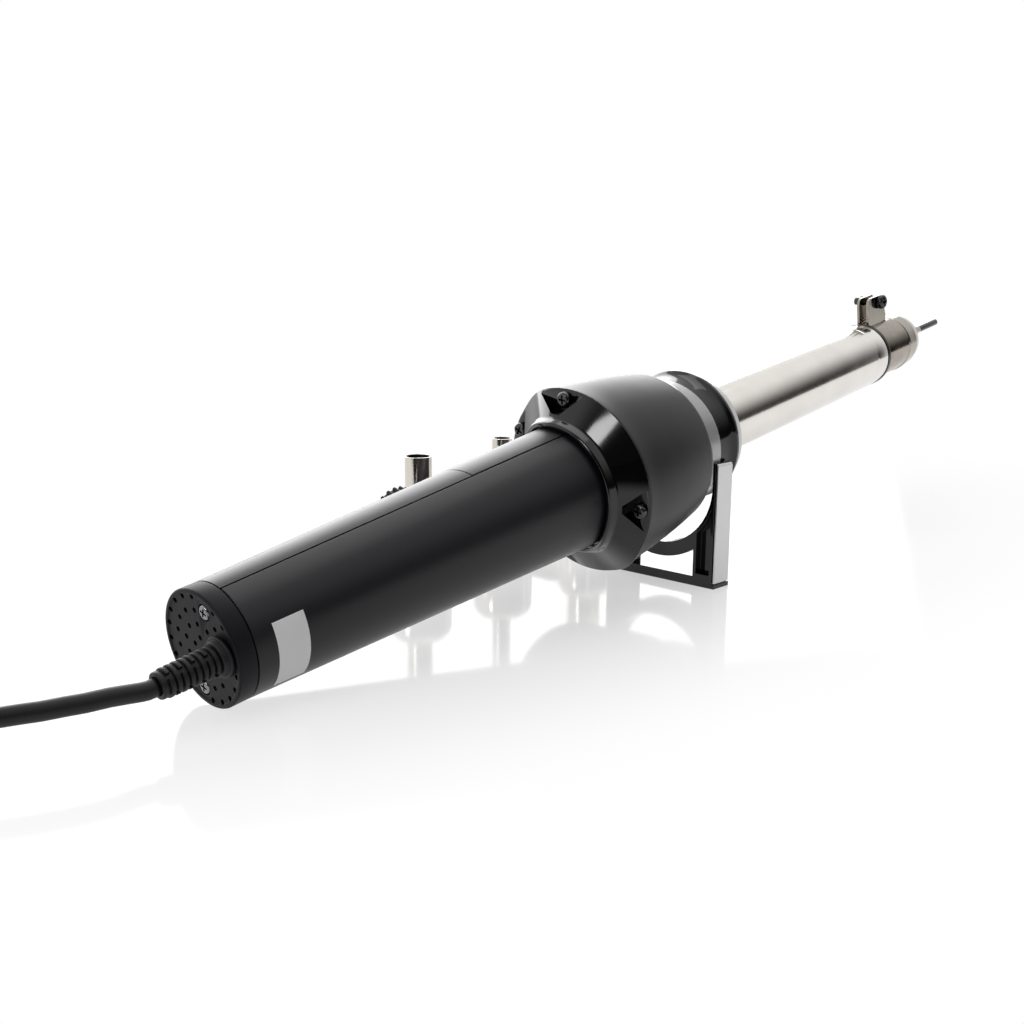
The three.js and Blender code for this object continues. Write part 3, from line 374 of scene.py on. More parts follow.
def softened(mesh: Mesh, width: float, segments: int = 3, angle: float = 32.0,
             harden: bool = True) -> Mesh:
    """Rounds a mesh's sharp edges.

    Args:
        mesh: the mesh.
        width: width of the rounding in millimetres.
        segments: flats in the rounding.
        angle: edges sharper than this are rounded, in degrees.
        harden: keeps the flat faces' shading flat up to the rounding.

    Returns:
        The new mesh.
    """
    obj = shown("working", mesh)
    mesh.shade_smooth()
    bevel = obj.modifiers.new("edge", "BEVEL")
    bevel.width, bevel.segments, bevel.harden_normals = width, segments, harden
    bevel.limit_method, bevel.angle_limit, bevel.use_clamp_overlap = "ANGLE", math.radians(angle), True
    return settled(obj)


@dataclass(frozen=True)
class Screw:
    """Cross-head screw along X, its head's flat side at x = 0 and its shank towards +X. Millimetres."""

    head: float
    height: float
    shank: float
    length: float

    def mesh(self) -> Mesh:
        """Turns the screw and cuts the cross into its head.

        Returns:
            The mesh.
        """
        head, height, shank, length = self.head, self.height, self.shank, self.length
        body = turned(rounded([(-height, 0, 0), (-height, head, height * 0.55), (0, head, height * 0.12),
                               (0, shank, 0), (length, shank, 0.25), (length, 0, 0)], 6), 48)
        wide, long = head * 0.15, head * 0.62
        arm = prism(rectangle(-long, long, -wide, wide), -height - 1, -height * 0.45, ALONG_X)
        return combined(body, [arm, moved(arm, turn(90.0))])


# Node trees


class Graph:
    """A node tree built node by node, each one set and linked as it is made."""

    def __init__(self, tree: bpy.types.NodeTree, prefix: str = "ShaderNode") -> None:
        """Empties a tree whose nodes mostly have a type of that prefix."""
        self.tree, self.prefix = tree, prefix
        tree.nodes.clear()

    def node(self, kind: str, settings: dict[str, object] | None = None,
             **inputs: object) -> bpy.types.Node:
        """Adds a node.

        Args:
            kind: the node's type, without its prefix where that is the tree's own.
            settings: properties of the node.
            **inputs: sockets to link or values to set, by name with _ for a space, or as i0, i1.

        Returns:
            The node.
        """
        node = self.tree.nodes.new(kind if "Node" in kind else self.prefix + kind)
        for key, value in (settings or {}).items():
            setattr(node, key, value)
        for key, value in inputs.items():
            socket = node.inputs[int(key[1:]) if key[1:].isdigit() else key.replace("_", " ")]
            if isinstance(value, Socket):
                self.tree.links.new(value, socket)
            else:
                socket.default_value = value
        return node

    def maths(self, operation: str, *values: object) -> Socket:
        """A Math node's result."""
        inputs = {f"i{number}": value for number, value in enumerate(values)}
        return self.node("ShaderNodeMath", {"operation": operation}, **inputs).outputs[0]

    def vector(self, operation: str, first: Socket, second: object = (0.0, 0.0, 0.0)) -> bpy.types.Node:
        """A Vector Math node."""
        return self.node("ShaderNodeVectorMath", {"operation": operation}, i0=first, i1=second)

    def fitted(self, noise: Socket, low: float, high: float) -> Socket:
        """Carries a noise's usual range over to the one from low to high."""
        return self.node("MapRange", Value=noise, From_Min=NOISE_LOW, From_Max=NOISE_HIGH, To_Min=low,
                         To_Max=high).outputs[0]

    def step(self, value: Socket, low: float, high: float, least: float = 0.0) -> Socket:
        """A smooth step that is least at low and 1 at high."""
        return self.node("MapRange", {"interpolation_type": "SMOOTHSTEP"}, Value=value, From_Min=low,
                         From_Max=high, To_Min=least).outputs[0]

    def mixed(self, share: Socket, first: object, second: object) -> Socket:
        """A colour between two."""
        return self.node("Mix", {"data_type": "RGBA"}, i0=share, i6=first, i7=second).outputs[2]

    def blended(self, share: object, first: Socket, second: Socket) -> Socket:
        """A shader between two."""
        return self.node("MixShader", i0=share, i1=first, i2=second).outputs[0]

    def seen(self) -> Socket:
        """One for camera, glossy and transmitted rays, zero for the others."""
        camera, *others = (self.ray(name) for name in ("Camera", "Glossy", "Transmission"))
        return self.maths("MAXIMUM", self.maths("MAXIMUM", camera, others[0]), others[1])

    def ray(self, name: str) -> Socket:
        """One for rays of a kind, zero for the others."""
        return self.node("LightPath").outputs[f"Is {name} Ray"]


class Pattern(Graph):
    """A Geometry Nodes tree that makes one repeated shape."""

    def __init__(self, name: str) -> None:
        """Starts a tree with its geometry and material sockets.

        Args:
            name: the tree's name.
        """
        super().__init__(bpy.data.node_groups.new(name, "GeometryNodeTree"), "GeometryNode")
        for way in ("INPUT", "OUTPUT"):
            self.tree.interface.new_socket("Geometry", in_out=way, socket_type="NodeSocketGeometry")
        self.inside = self.node("NodeGroupInput")
        self.size("Material", "NodeSocketMaterial")

    def size(self, name: str, kind: str = "NodeSocketFloat") -> Socket:
        """Adds a named input to the tree."""
        self.tree.interface.new_socket(name, in_out="INPUT", socket_type=kind)
        return self.inside.outputs[name]

    def close(self, geometry: Socket) -> None:
        """Ends the tree in Realize Instances and Set Material.

        Args:
            geometry: the socket with all that the tree made.
        """
        real = self.node("RealizeInstances", Geometry=geometry).outputs[0]
        self.node("NodeGroupOutput", Geometry=self.node(
            "SetMaterial", Geometry=real, Material=self.inside.outputs["Material"]).outputs[0])

    def grow(self, mesh: Mesh, finish: "Finish", **sizes: object) -> Mesh:
        """Runs the tree on a mesh.

        Args:
            mesh: the shape that the tree repeats or cuts.
            finish: the finish of what it makes.
            **sizes: values for the tree's named inputs, with _ for a space.

        Returns:
            The plain mesh.
        """
        obj = shown("working", mesh)
        modifier = obj.modifiers.new(self.tree.name, "NODES")
        modifier.node_group = self.tree
        sockets = {item.name: item.identifier for item in self.tree.interface.items_tree
                   if item.in_out == "INPUT"}
        for key, value in {**sizes, "Material": finish.material()}.items():
            modifier[sockets[key.replace("_", " ")]] = value
        obj.update_tag()
        return settled(obj)


def copies_pattern() -> Pattern:
    """Copies of a shape that lies along X, in a ring about it or in a row towards -X.

    Returns:
        The tree. Its inputs give the first angle, the step from copy to copy, a further turn for every
        second copy, the pitch of the row and the share by which each copy is thinner than the last.
    """
    pattern = Pattern("copies")
    count = pattern.size("Count", "NodeSocketInt")
    first, step, odd, pitch, taper = (pattern.size(name) for name in (
        "First Angle", "Step Angle", "Odd Offset", "Pitch", "Taper"))
    index = pattern.node("InputIndex").outputs[0]
    angle = pattern.maths("MULTIPLY_ADD", index, step, first)
    angle = pattern.maths("MULTIPLY_ADD", pattern.maths("MODULO", index, 2.0), odd, angle)
    along = pattern.maths("MULTIPLY", pattern.maths("MULTIPLY", index, pitch), -1.0)
    thin = pattern.maths("SUBTRACT", 1.0, pattern.maths("MULTIPLY", index, taper))
    place, size, around = (pattern.node("ShaderNodeCombineXYZ", X=x, Y=y, Z=y).outputs[0] for x, y in (
        (along, 0.0), (1.0, thin), (pattern.maths("RADIANS", angle), 0.0)))
    points = pattern.node("Points", Count=count, Position=place).outputs[0]
    copies = pattern.node("InstanceOnPoints", Points=points, Scale=size, Rotation=around,
                          Instance=pattern.inside.outputs["Geometry"])
    pattern.close(copies.outputs[0])
    return pattern


def vent_pattern(rings: int, keep_out: Sequence[tuple[Vector, float]]) -> Pattern:
    """Rings of round holes through a plate that lies square to X.

    Args:
        rings: how many rings.
        keep_out: (centre, distance) of the places that have no holes.

    Returns:
        The tree.
    """
    pattern = Pattern("rings of vents")
    radius, depth = pattern.size("Hole Radius"), pattern.size("Depth")
    circles = pattern.node("JoinGeometry")
    for number in range(1, rings + 1):
        ring = pattern.node("MeshCircle", Vertices=pattern.size(f"Holes {number}", "NodeSocketInt"),
                            Radius=pattern.size(f"Ring {number}"))
        pattern.tree.links.new(ring.outputs[0], circles.inputs[0])
    places = pattern.node("Transform", Geometry=circles.outputs[0],
                          Rotation=(0.0, -math.pi / 2, 0.0)).outputs[0]
    where = pattern.node("InputPosition").outputs[0]
    for centre, distance in keep_out:
        gap = pattern.vector("DISTANCE", where, tuple(centre)).outputs["Value"]
        places = pattern.node("DeleteGeometry", {"domain": "POINT"}, Geometry=places,
                              Selection=pattern.maths("LESS_THAN", gap, distance)).outputs[0]
    drill = pattern.node("MeshCylinder", Vertices=16, Radius=radius, Depth=depth).outputs[0]
    lying = pattern.node("Transform", Geometry=drill, Rotation=(0.0, math.pi / 2, 0.0)).outputs[0]
    drills = pattern.node("InstanceOnPoints", Points=places, Instance=lying).outputs[0]
    solid = pattern.node("RealizeInstances", Geometry=drills).outputs[0]
    cut = pattern.node("MeshBoolean", {"operation": "DIFFERENCE", "solver": "EXACT"},
                       i0=pattern.inside.outputs["Geometry"], i1=solid)
    pattern.close(cut.outputs[0])
    return pattern


COPIES = copies_pattern()


# Finishes


class Grain(Enum):
    """How a surface was made: its fine grain's share in the sheen, and its scale round the axis."""

    SMOOTH = (0.15, 1.0)
    MOULDED = (0.6, 1.0)
    TURNED = (0.6, 0.03)


@dataclass(frozen=True)
class Finish:
    """One finish of the tool: its colour, sheen and surface grain. Sizes in millimetres."""

    name: str
    slot: str
    colour: Triple
    roughness: float
    grain: Grain = Grain.SMOOTH
    metallic: float = 0.0
    specular: float = 0.5
    coat: float = 0.0
    coat_roughness: float = 0.08
    grain_size: float = 0.25
    grain_depth: float = 0.01
    broad_size: float = 14.0
    spread: float = 0.06
    stain: float = 0.08

    def material(self) -> bpy.types.Material:
        """Makes the finish's node material, once.

        Returns:
            The material.
        """
        known = bpy.data.materials.get(self.name)
        if known:
            return known
        material = bpy.data.materials.new(self.name)
        material.use_nodes = True
        material.diffuse_color = (*self.colour, 1.0)
        graph = Graph(material.node_tree)
        share, drawn = self.grain.value
        fine = self.noise(graph, self.grain_size, 3.0, drawn)
        broad = self.noise(graph, self.broad_size, 2.0, 1.0)
        both = graph.maths("DIVIDE", graph.maths("MULTIPLY_ADD", fine, 0.5, broad), 1.5)
        low, high = [(*(min(1.0, c * (1 + spread)) for c in self.colour), 1.0)
                     for spread in (-self.spread, self.spread)]
        marks = graph.node("Mix", i0=share, i2=broad, i3=fine).outputs[0]
        bump = graph.node("Bump", Strength=1.0, Distance=self.grain_depth * MM, Height=fine)
        shader = graph.node(
            "BsdfPrincipled", Base_Color=graph.mixed(graph.fitted(both, 0.0, 1.0), low, high),
            Roughness=graph.fitted(marks, self.roughness * (1 - self.stain),
                                   self.roughness * (1 + self.stain)),
            Metallic=self.metallic, Specular_IOR_Level=self.specular, Coat_Weight=self.coat,
            Coat_Roughness=self.coat_roughness, Normal=bump.outputs[0])
        graph.node("OutputMaterial", Surface=shader.outputs[0])
        return material

    def noise(self, graph: Graph, size: float, detail: float, drawn: float) -> Socket:
        """Noise of a given size, drawn out round the gun's axis.

        Args:
            graph: the material's tree.
            size: size of the pattern in millimetres.
            detail: the noise's detail.
            drawn: the pattern's scale round the axis, against that along it.

        Returns:
            The noise value's socket.
        """
        where = graph.node("TexCoord").outputs["Object"]
        scale = 1.0 / (size * MM)
        mapping = graph.node("Mapping", Vector=where, Rotation=(0.0, math.radians(GUN.tilt), 0.0),
                             Scale=(scale, scale * drawn, scale * drawn))
        return graph.node("TexNoise", Vector=mapping.outputs[0], Scale=1.0, Detail=detail,
                          Roughness=0.55).outputs[0]


HANDLE_PLASTIC = Finish("satin black plastic", "handle_plastic", (0.0085, 0.0085, 0.0115), 0.36,
                        Grain.MOULDED, specular=0.32, grain_size=0.3, grain_depth=0.006)
HOUSING_PLASTIC = Finish("matte black plastic", "housing_plastic", (0.012, 0.0125, 0.0145), 0.42,
                         Grain.MOULDED, specular=0.32, grain_size=0.35, grain_depth=0.012)
CAP_PLASTIC = Finish("cap plastic", "handle_plastic", (0.008, 0.008, 0.0105), 0.46, Grain.MOULDED,
                     specular=0.14, grain_size=0.3, grain_depth=0.008)
GLOSS_BLACK = Finish("gloss black plastic", "gloss_black", (0.002, 0.002, 0.0025), 0.1,
                     grain_size=1.2, grain_depth=0.001, stain=0.2)
CORD_RUBBER = Finish("cord jacket", "cord_rubber", (0.009, 0.009, 0.011), 0.5, specular=0.3,
                     grain_size=0.4)
TURNED_STEEL = Finish("turned steel", "brushed_steel", (0.76, 0.73, 0.69), 0.16, Grain.TURNED,
                      metallic=1.0, grain_size=0.12, grain_depth=0.0006, stain=0.2)
SATIN_STEEL = replace(TURNED_STEEL, name="satin steel", colour=(0.5, 0.5, 0.5), roughness=0.38,
                      grain_size=0.15, grain_depth=0.001, stain=0.15)
BRIGHT_STEEL = Finish("polished steel", "polished_steel", (0.66, 0.62, 0.57), 0.1, metallic=1.0,
                      grain_size=2.0, grain_depth=0.002, stain=0.5)
HEATED_STEEL = replace(BRIGHT_STEEL, name="heat-tinted steel", colour=(0.34, 0.31, 0.27),
                       roughness=0.13, spread=0.25)
# Dark steel for the end ring, the clamp screws and the nozzle tips; on the nozzles' inner faces it is
# painted shade.
DARK_STEEL = Finish("blackened steel and painted bore shade", "dark_steel", (0.06, 0.06, 0.062), 0.32, metallic=1.0,
                    grain_size=0.4, grain_depth=0.003)
SCREW_STEEL = Finish("screw steel", "brushed_steel", (0.24, 0.24, 0.25), 0.24, metallic=1.0,
                     grain_size=0.5, grain_depth=0.003)
DARK_SCREW = replace(SCREW_STEEL, name="dark screw steel", colour=(0.07, 0.07, 0.075), roughness=0.22)
SILVER_PLASTIC = Finish("silver plate", "silver_plastic", (0.76, 0.76, 0.77), 0.3, metallic=0.6,
                        grain_size=0.6, grain_depth=0.0004, spread=0.02, stain=0.05)
# Grey of the thin sleeve on the neck's waist: a painted highlight.
WAIST_HIGHLIGHT_GREY = replace(SILVER_PLASTIC, name="painted waist highlight", colour=(0.5, 0.5, 0.51), roughness=0.32,
                    metallic=0.4)
CERAMIC = Finish("fired ceramic", "ceramic_white", (0.82, 0.79, 0.72), 0.75, grain_size=0.5)
HEATER_WIRE = Finish("heater wire", "heater_alloy", (0.35, 0.31, 0.28), 0.45, metallic=1.0)
BOARD = Finish("board resin", "board_green", (0.03, 0.12, 0.05), 0.4, Grain.MOULDED, grain_size=0.6)
COMPONENT = Finish("component case", "component_grey", (0.05, 0.052, 0.055), 0.45, Grain.MOULDED)
LABEL = Finish("label film", "label_white", (0.93, 0.93, 0.93), 0.4, spread=0.015, grain_size=0.4,
               grain_depth=0.003)
LENS = Finish("red lens", "lens_red", (0.45, 0.02, 0.015), 0.12, coat=0.4, grain_size=0.8,
              grain_depth=0.004)
IMPELLER = Finish("impeller plastic", "impeller_grey", (0.09, 0.095, 0.1), 0.45, Grain.MOULDED)


def placed(name: str, mesh: Mesh, finish: Finish, *stands_for: str, place: Matrix = HANDSET,
           body: str = "handset", smooth: float = 35.0) -> Piece:
    """Makes a finished piece of the part.

    Args:
        name: the piece's name.
        mesh: its mesh, in millimetres.
        finish: its finish.
        *stands_for: the solids that it is shown instead of.
        place: where that mesh lies.
        body: the body that it rides on.
        smooth: edges sharper than this stay sharp, in degrees.

    Returns:
        The object, at the origin.
    """
    mesh.transform(Matrix.Scale(MM, 4) @ place)
    mesh.name = name
    mesh.materials.clear()
    mesh.materials.append(finish.material())
    mesh.polygons.foreach_set("material_index", [0] * len(mesh.polygons))
    mesh.shade_smooth()
    if not mesh.has_custom_normals:
        mesh.set_sharp_from_angle(angle=math.radians(smooth))
    obj = shown(name, mesh)
    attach(obj, body)
    if stands_for:
        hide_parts(*stands_for)
    LOG.info("%s: %d faces, on %s", name, len(mesh.polygons), body)
    return obj


def refinished(obj: Piece, place: Matrix, finish: Finish,
           wanted: Callable[[Vector, Vector], bool]) -> None:
    """Gives some faces of a piece another finish.

    Args:
        obj: the piece.
        place: where its mesh was placed.
        finish: the other finish.
        wanted: tells it of a face, from its middle and normal in the mesh's own millimetres.
    """
    back = (Matrix.Scale(MM, 4) @ place).inverted()
    obj.data.materials.append(finish.material())
    number = len(obj.data.materials) - 1
    for face in obj.data.polygons:
        if wanted(back @ face.center, back.to_3x3() @ face.normal):
            face.material_index = number


# Studio


@dataclass
class Studio:
    """Camera, soft lamps, pale floor and white surroundings. Metres and degrees."""

    heading: float = 43.70
    dip: float = 11.14
    roll: float = 0.36
    focal_pixels: float = 1217.23
    image: float = 1024.0
    centre_x: float = 506.02
    centre_y: float = 508.28
    sensor: float = 36.0
    station: Triple = (-0.3331, -0.24199, 0.10364)
    lamps: tuple[tuple[str, Triple, Triple, float, float, float], ...] = (
        ("top softbox", (0.15, 0.1, 0.9), (0.0, 0.0, 0.05), 0.6, 0.6, 1.5),
        ("left softbox", (-1.08, -0.045, 0.435), (-0.05, 0.0, 0.05), 0.24, 0.27, 2.6),
        ("back softbox", (0.52, 1.12, 0.55), (0.0, 0.0, 0.05), 2.4, 1.0, 25.0))
    floor_radius: float = 4.0
    floor_drop: float = 0.00005
    middle: Triple = (0.0, 0.02, 0.0)
    reach: Triple = (0.38, 0.13, 1.0)
    white_from: float = 0.1
    white_to: float = 1.0
    least_white: float = 0.5
    floor_colour: float = 0.93
    floor_gloss: float = 0.22
    gloss_roughness: float = 0.09
    dark_across: tuple[float, float] = (-0.06, -0.11)
    dark_along: tuple[float, float] = (-0.08, -0.17)
    # Grey of the painted shade that glossy rays see on the floor's corner towards the camera.
    glossy_shade_grey: float = 0.02
    surround: float = 0.27
    room_colour: tuple[float, float, float, float] = (0.04, 0.037, 0.034, 1.0)
    room_towards: Triple = (-0.3, -0.95, 0.0)
    room_side: tuple[float, float] = (-0.15, 0.25)
    room_height: tuple[float, float] = (0.8, 0.1)
    room_rise: float = 0.8

    def build(self) -> None:
        """Makes the camera, the lamps, the floor and the world."""
        self.camera()
        for name, at, target, width, height, power in self.lamps:
            data = bpy.data.lights.new(name, "AREA")
            data.shape = "RECTANGLE"
            data.size, data.size_y, data.energy = width, height, power
            lamp = shown(name, data)
            lamp.location = at
            lamp.rotation_euler = (Vector(target) - Vector(at)).to_track_quat("-Z", "Y").to_euler()
        self.floor()
        self.world()
        bpy.context.scene.view_settings.view_transform = "Standard"

    def camera(self) -> None:
        """Places the camera at the photograph's viewing angle."""
        data = bpy.data.cameras.new("camera")
        data.sensor_fit = "HORIZONTAL"
        data.sensor_width = self.sensor
        data.lens = self.sensor * self.focal_pixels / self.image
        data.shift_x = (self.image / 2 - self.centre_x) / self.image
        data.shift_y = (self.centre_y - self.image / 2) / self.image
        data.clip_start = 0.01
        camera = shown("camera", data)
        facing = turn(self.heading - 90.0, "Z") @ turn(90.0 - self.dip) @ turn(self.roll, "Z")
        camera.matrix_world = Matrix.Translation(self.station) @ facing
        bpy.context.scene.camera = camera

    def floor(self) -> None:
        """A pale floor with a faint gloss, that turns plain white away from the object; its corner
        towards the camera is painted dark for glossy rays only, a painted shade.
        """
        bm = bmesh.new()
        bmesh.ops.create_circle(bm, cap_ends=True, segments=96, radius=self.floor_radius)
        mesh = moved(mesh_of(bm), shift(z=-self.floor_drop))
        material = bpy.data.materials.new("pale floor")
        material.use_nodes = True
        graph = Graph(material.node_tree)
        where = graph.node("TexCoord").outputs["Object"]
        aside = graph.vector("SUBTRACT", where, self.middle).outputs[0]
        shares = graph.vector("DIVIDE", aside, self.reach).outputs[0]
        fade = graph.step(graph.vector("LENGTH", shares).outputs["Value"], self.white_from,
                          self.white_to, self.least_white)
        pale, dark = (graph.node("BsdfDiffuse", Color=(grey, grey, grey, 1.0)).outputs[0]
                      for grey in (self.floor_colour, self.glossy_shade_grey))
        gloss = graph.node("BsdfGlossy", Color=WHITE, Roughness=self.gloss_roughness).outputs[0]
        white = graph.node("Emission", Strength=1.0).outputs[0]
        lit = graph.blended(graph.maths("MULTIPLY", fade, graph.seen()),
                            graph.blended(self.floor_gloss, pale, gloss), white)
        split = graph.node("SeparateXYZ", i0=where).outputs
        # Painted shade: for glossy rays only, the floor's corner towards the camera is dark, so that
        # gloss shows a dark floor there.
        corner = graph.maths("MULTIPLY", graph.step(split["Y"], *self.dark_across),
                             graph.step(split["X"], *self.dark_along))
        final = graph.blended(graph.maths("MULTIPLY", corner, graph.ray("Glossy")), lit, dark)
        graph.node("OutputMaterial", Surface=final)
        mesh.materials.append(material)
        floor = shown("floor", mesh)

    def world(self) -> None:
        """White surroundings, with a dim room on the side of the photographer for gloss to show."""
        world = bpy.data.worlds.new("surroundings")
        bpy.context.scene.world = world
        world.use_nodes = True
        graph = Graph(world.node_tree)
        direction = graph.node("TexCoord").outputs["Generated"]
        split = graph.node("SeparateXYZ", i0=direction).outputs
        rearward = graph.maths("MINIMUM", split["X"], 0.0)
        height = graph.maths("MULTIPLY_ADD", rearward, self.room_rise, split["Z"])
        side = graph.vector("DOT_PRODUCT", direction, self.room_towards).outputs["Value"]
        room = graph.maths("MULTIPLY", graph.step(height, *self.room_height),
                           graph.step(side, *self.room_side))
        around = graph.mixed(graph.ray("Glossy"), WHITE, graph.mixed(room, WHITE, self.room_colour))
        seen = graph.node("Background", Color=around).outputs[0]
        fill = graph.node("Background", Strength=self.surround).outputs[0]
        graph.node("OutputWorld", Surface=graph.blended(graph.seen(), fill, seen))


# Mains lead


@dataclass
class MainsLead:
    """The lead from the strain relief to its plug, with its coil and tie. Millimetres."""

    diameter: float = 4.4
    route: tuple[Triple, ...] = (
        (-206.4, -8.6, 12.1), (-211.8, -8.3, 12.5), (-217.0, -7.8, 12.5), (-221.0, -6.8, 12.5),
        (-226.0, -5.5, 12.4), (-233.3, -2.7, 12.3), (-240.5, -0.2, 11.4), (-248.0, 1.7, 8.9),
        (-254.5, 2.9, 6.0), (-260.0, 3.5, 4.1))
    before_coil: tuple[float, ...] = (6.9, 4.4, 2.2)
    pitch: float = 5.0
    inner_radius: float = 17.7
    turns_in: float = 3.5
    turns_out: float = 3.75
    centre_x: float = -271.6
    start_y: float = 3.7
    tie_thickness: float = 0.7
    tie_width: float = 5.0
    tie_corner: float = 3.0
    tie_turn: float = 60.0
    tail: float = 12.0
    points_per_turn: int = 40
    follows_stand: Triple = (-0.252, 0.0024, 0.005)
    follows_handset: Triple = (-0.2265, -0.0231, 0.005)

    def low(self) -> float:
        """Height of the coil's lower layer."""
        return self.diameter / 2 + self.tie_thickness + GAP

    def centre_y(self) -> float:
        """Middle of the coil across the table."""
        return self.start_y + self.inner_radius + self.pitch * self.turns_in

    def coil(self) -> list[Vector]:
        """Lays the coil: in on the lower layer, then out on the upper one.

        Returns:
            Its points.
        """
        total = self.turns_in + self.turns_out
        count = round(total * self.points_per_turn)
        points = []
        for turns in (total * i / count for i in range(count + 1)):
            past = turns - self.turns_in
            radius = self.inner_radius + self.pitch * abs(past)
            angle = -math.pi / 2 - turns * 2 * math.pi
            points.append(Vector((self.centre_x + radius * math.cos(angle),
                                  self.centre_y() + radius * math.sin(angle),
                                  self.low() + self.pitch * smoothed((past + 0.25) / 0.5))))
        return points

    def plug_at(self) -> Vector:
        """Where the lead enters the plug."""
        x, y, _ = self.coil()[-1]
        return Vector((x, y + self.diameter + GAP + self.tail, Plug.thickness / 2))

    def path(self) -> list[Vector]:
        """Lays the whole route, from the strain relief to the plug.

        Returns:
            Its points.
        """
        coil = self.coil()
        start = HANDSET @ (Vector(GUN.relief) - Vector((GUN.relief_length, 0.0, 0.0)))
        rearward = (HANDSET.to_3x3() @ Vector((-1.0, 0.0, 0.0))).normalized()
        lead = [start, start + rearward * (GAP + 2.0), *(Vector(p) for p in self.route)]
        lead += [coil[0] + Vector((x, 0.0, 0.0)) for x in self.before_coil]
        end, entry = coil[-1], self.plug_at()
        tail_y = entry.y - self.tail
        tail = [end, end + Vector((0.0, self.diameter / 2, 0.0)), Vector((end.x, tail_y, end.z)),
                Vector((end.x, tail_y + self.tail * 0.4, end.z - 0.4)),
                Vector((end.x, tail_y + self.tail * 0.7, entry.z + 0.1)), entry]
        free = smooth_through([*lead, coil[0], coil[1]], 2)
        return [*free[:-3], *coil, *smooth_through(tail, 2)[1:]]

    def build(self) -> None:
        line = self.path()
        mesh = moved(tube(line, self.diameter / 2), Matrix.Scale(MM, 4))
        mesh.materials.append(CORD_RUBBER.material())
        mesh.shade_smooth()
        cord = shown("mains_lead", mesh)
        tie = self.tie()
        plug = Plug(self.plug_at()).build()
        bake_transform(cord)
        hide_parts("cord_lead", "cord_coil", "cord_tail")

    def tie(self) -> Piece:
        """Makes the band round all the turns of the coil.

        Returns:
            The piece.
        """
        wall = self.tie_thickness
        clear = self.diameter / 2 + wall + GAP
        inner = self.inner_radius - clear
        outer = self.inner_radius + self.pitch * self.turns_out + clear
        top = self.low() + self.pitch + clear
        edge, width = rectangle(inner, outer, 0.0, top, self.tie_corner, 8), self.tie_width
        band = prism(edge, -width / 2, width / 2, ALONG_Y)
        edge = rectangle(inner + wall, outer - wall, wall, top - wall, self.tie_corner - wall, 8)
        room = prism(edge, -width, width, ALONG_Y)
        strap = softened(combined(band, [room]), 0.2, 2)
        tongue = softened(prism(rectangle(-4.0, 4.0, -2.0, 2.0, 1.9, 8), top, top + 0.8), 0.2, 2)
        place = shift(self.centre_x, self.centre_y()) @ turn(self.tie_turn, "Z")
        return placed("lead_tie", joined(strap, moved(tongue, shift((inner + outer) / 2))), CORD_RUBBER,
                      "cord_tie", place=place, body="stand")


@dataclass
class Plug:
    """Two-pin plug with a sleeve and grip ribs. Millimetres."""

    entry: Vector
    entry_radius: float = 1.21
    sleeve: float = 12.0
    sleeve_radius: float = 4.0
    length: float = 32.0
    width: float = 26.0
    thickness: float = 14.4
    pin_radius: float = 2.0
    pin_length: float = 19.0
    pin_spacing: float = 18.6
    grips: int = 6

    def build(self) -> list[Piece]:
        """Makes the body and its two pins.

        Returns:
            The pieces.
        """
        place = shift(*(self.entry + Vector((0.0, GAP, 0.0)))) @ turn(90.0, "Z")
        sleeve, edge = self.sleeve, self.sleeve_radius
        front, half, deep = sleeve + self.length, self.width / 2, self.thickness / 2
        outline = rounded([(sleeve, -6.0, 2.5), (sleeve + 6, -half, 5.0), (front, -half, 2.0),
                           (front, half, 2.0), (sleeve + 6, half, 5.0), (sleeve, 6.0, 2.5)], 8)
        block = softened(prism(outline, -deep, deep), 2.6, 5, 60.0)
        neck = turned(rounded([(0.0, self.entry_radius, 0.3), (0.0, edge - 0.6, 0.8),
                               (sleeve + 2, edge, 0), (sleeve + 2, 0.5, 0)]), 48)
        rib = turned(rounded([(0.0, 3.0, 0), (0.0, edge + 0.05, 0.3), (0.9, edge + 0.05, 0.3),
                              (0.9, 3.0, 0)], 3), 40)
        ribs = COPIES.grow(moved(rib, shift(sleeve - 1.5)), CORD_RUBBER, Count=self.grips, Pitch=1.7,
                           Taper=0.02)
        bar = softened(prism(rectangle(-0.6, 0.6, -half + 0.3, half - 0.3, 0.5), -0.25, 0.35), 0.2, 2)
        grip = [COPIES.grow(moved(bar, shift(front - 6, 0, side * (deep - 0.3))), CORD_RUBBER,
                            Count=self.grips, Pitch=2.4) for side in (1.0, -1.0)]
        pieces = [placed("plug", joined(block, neck, ribs, *grip), CORD_RUBBER, "plug_body", place=place,
                         body="stand")]
        far = front + self.pin_length
        for name, hand in (("left", -1.0), ("right", 1.0)):
            pin = turned(rounded([(front + GAP, 0, 0), (front + GAP, self.pin_radius, 0),
                                  (far, self.pin_radius, 1.0), (far, 0, 0)]), 40)
            pieces.append(placed(f"pin_{name}", pin, BRIGHT_STEEL, f"plug_pin_{name}", body="stand",
                                 place=place @ shift(0, hand * self.pin_spacing / 2)))
        return pieces


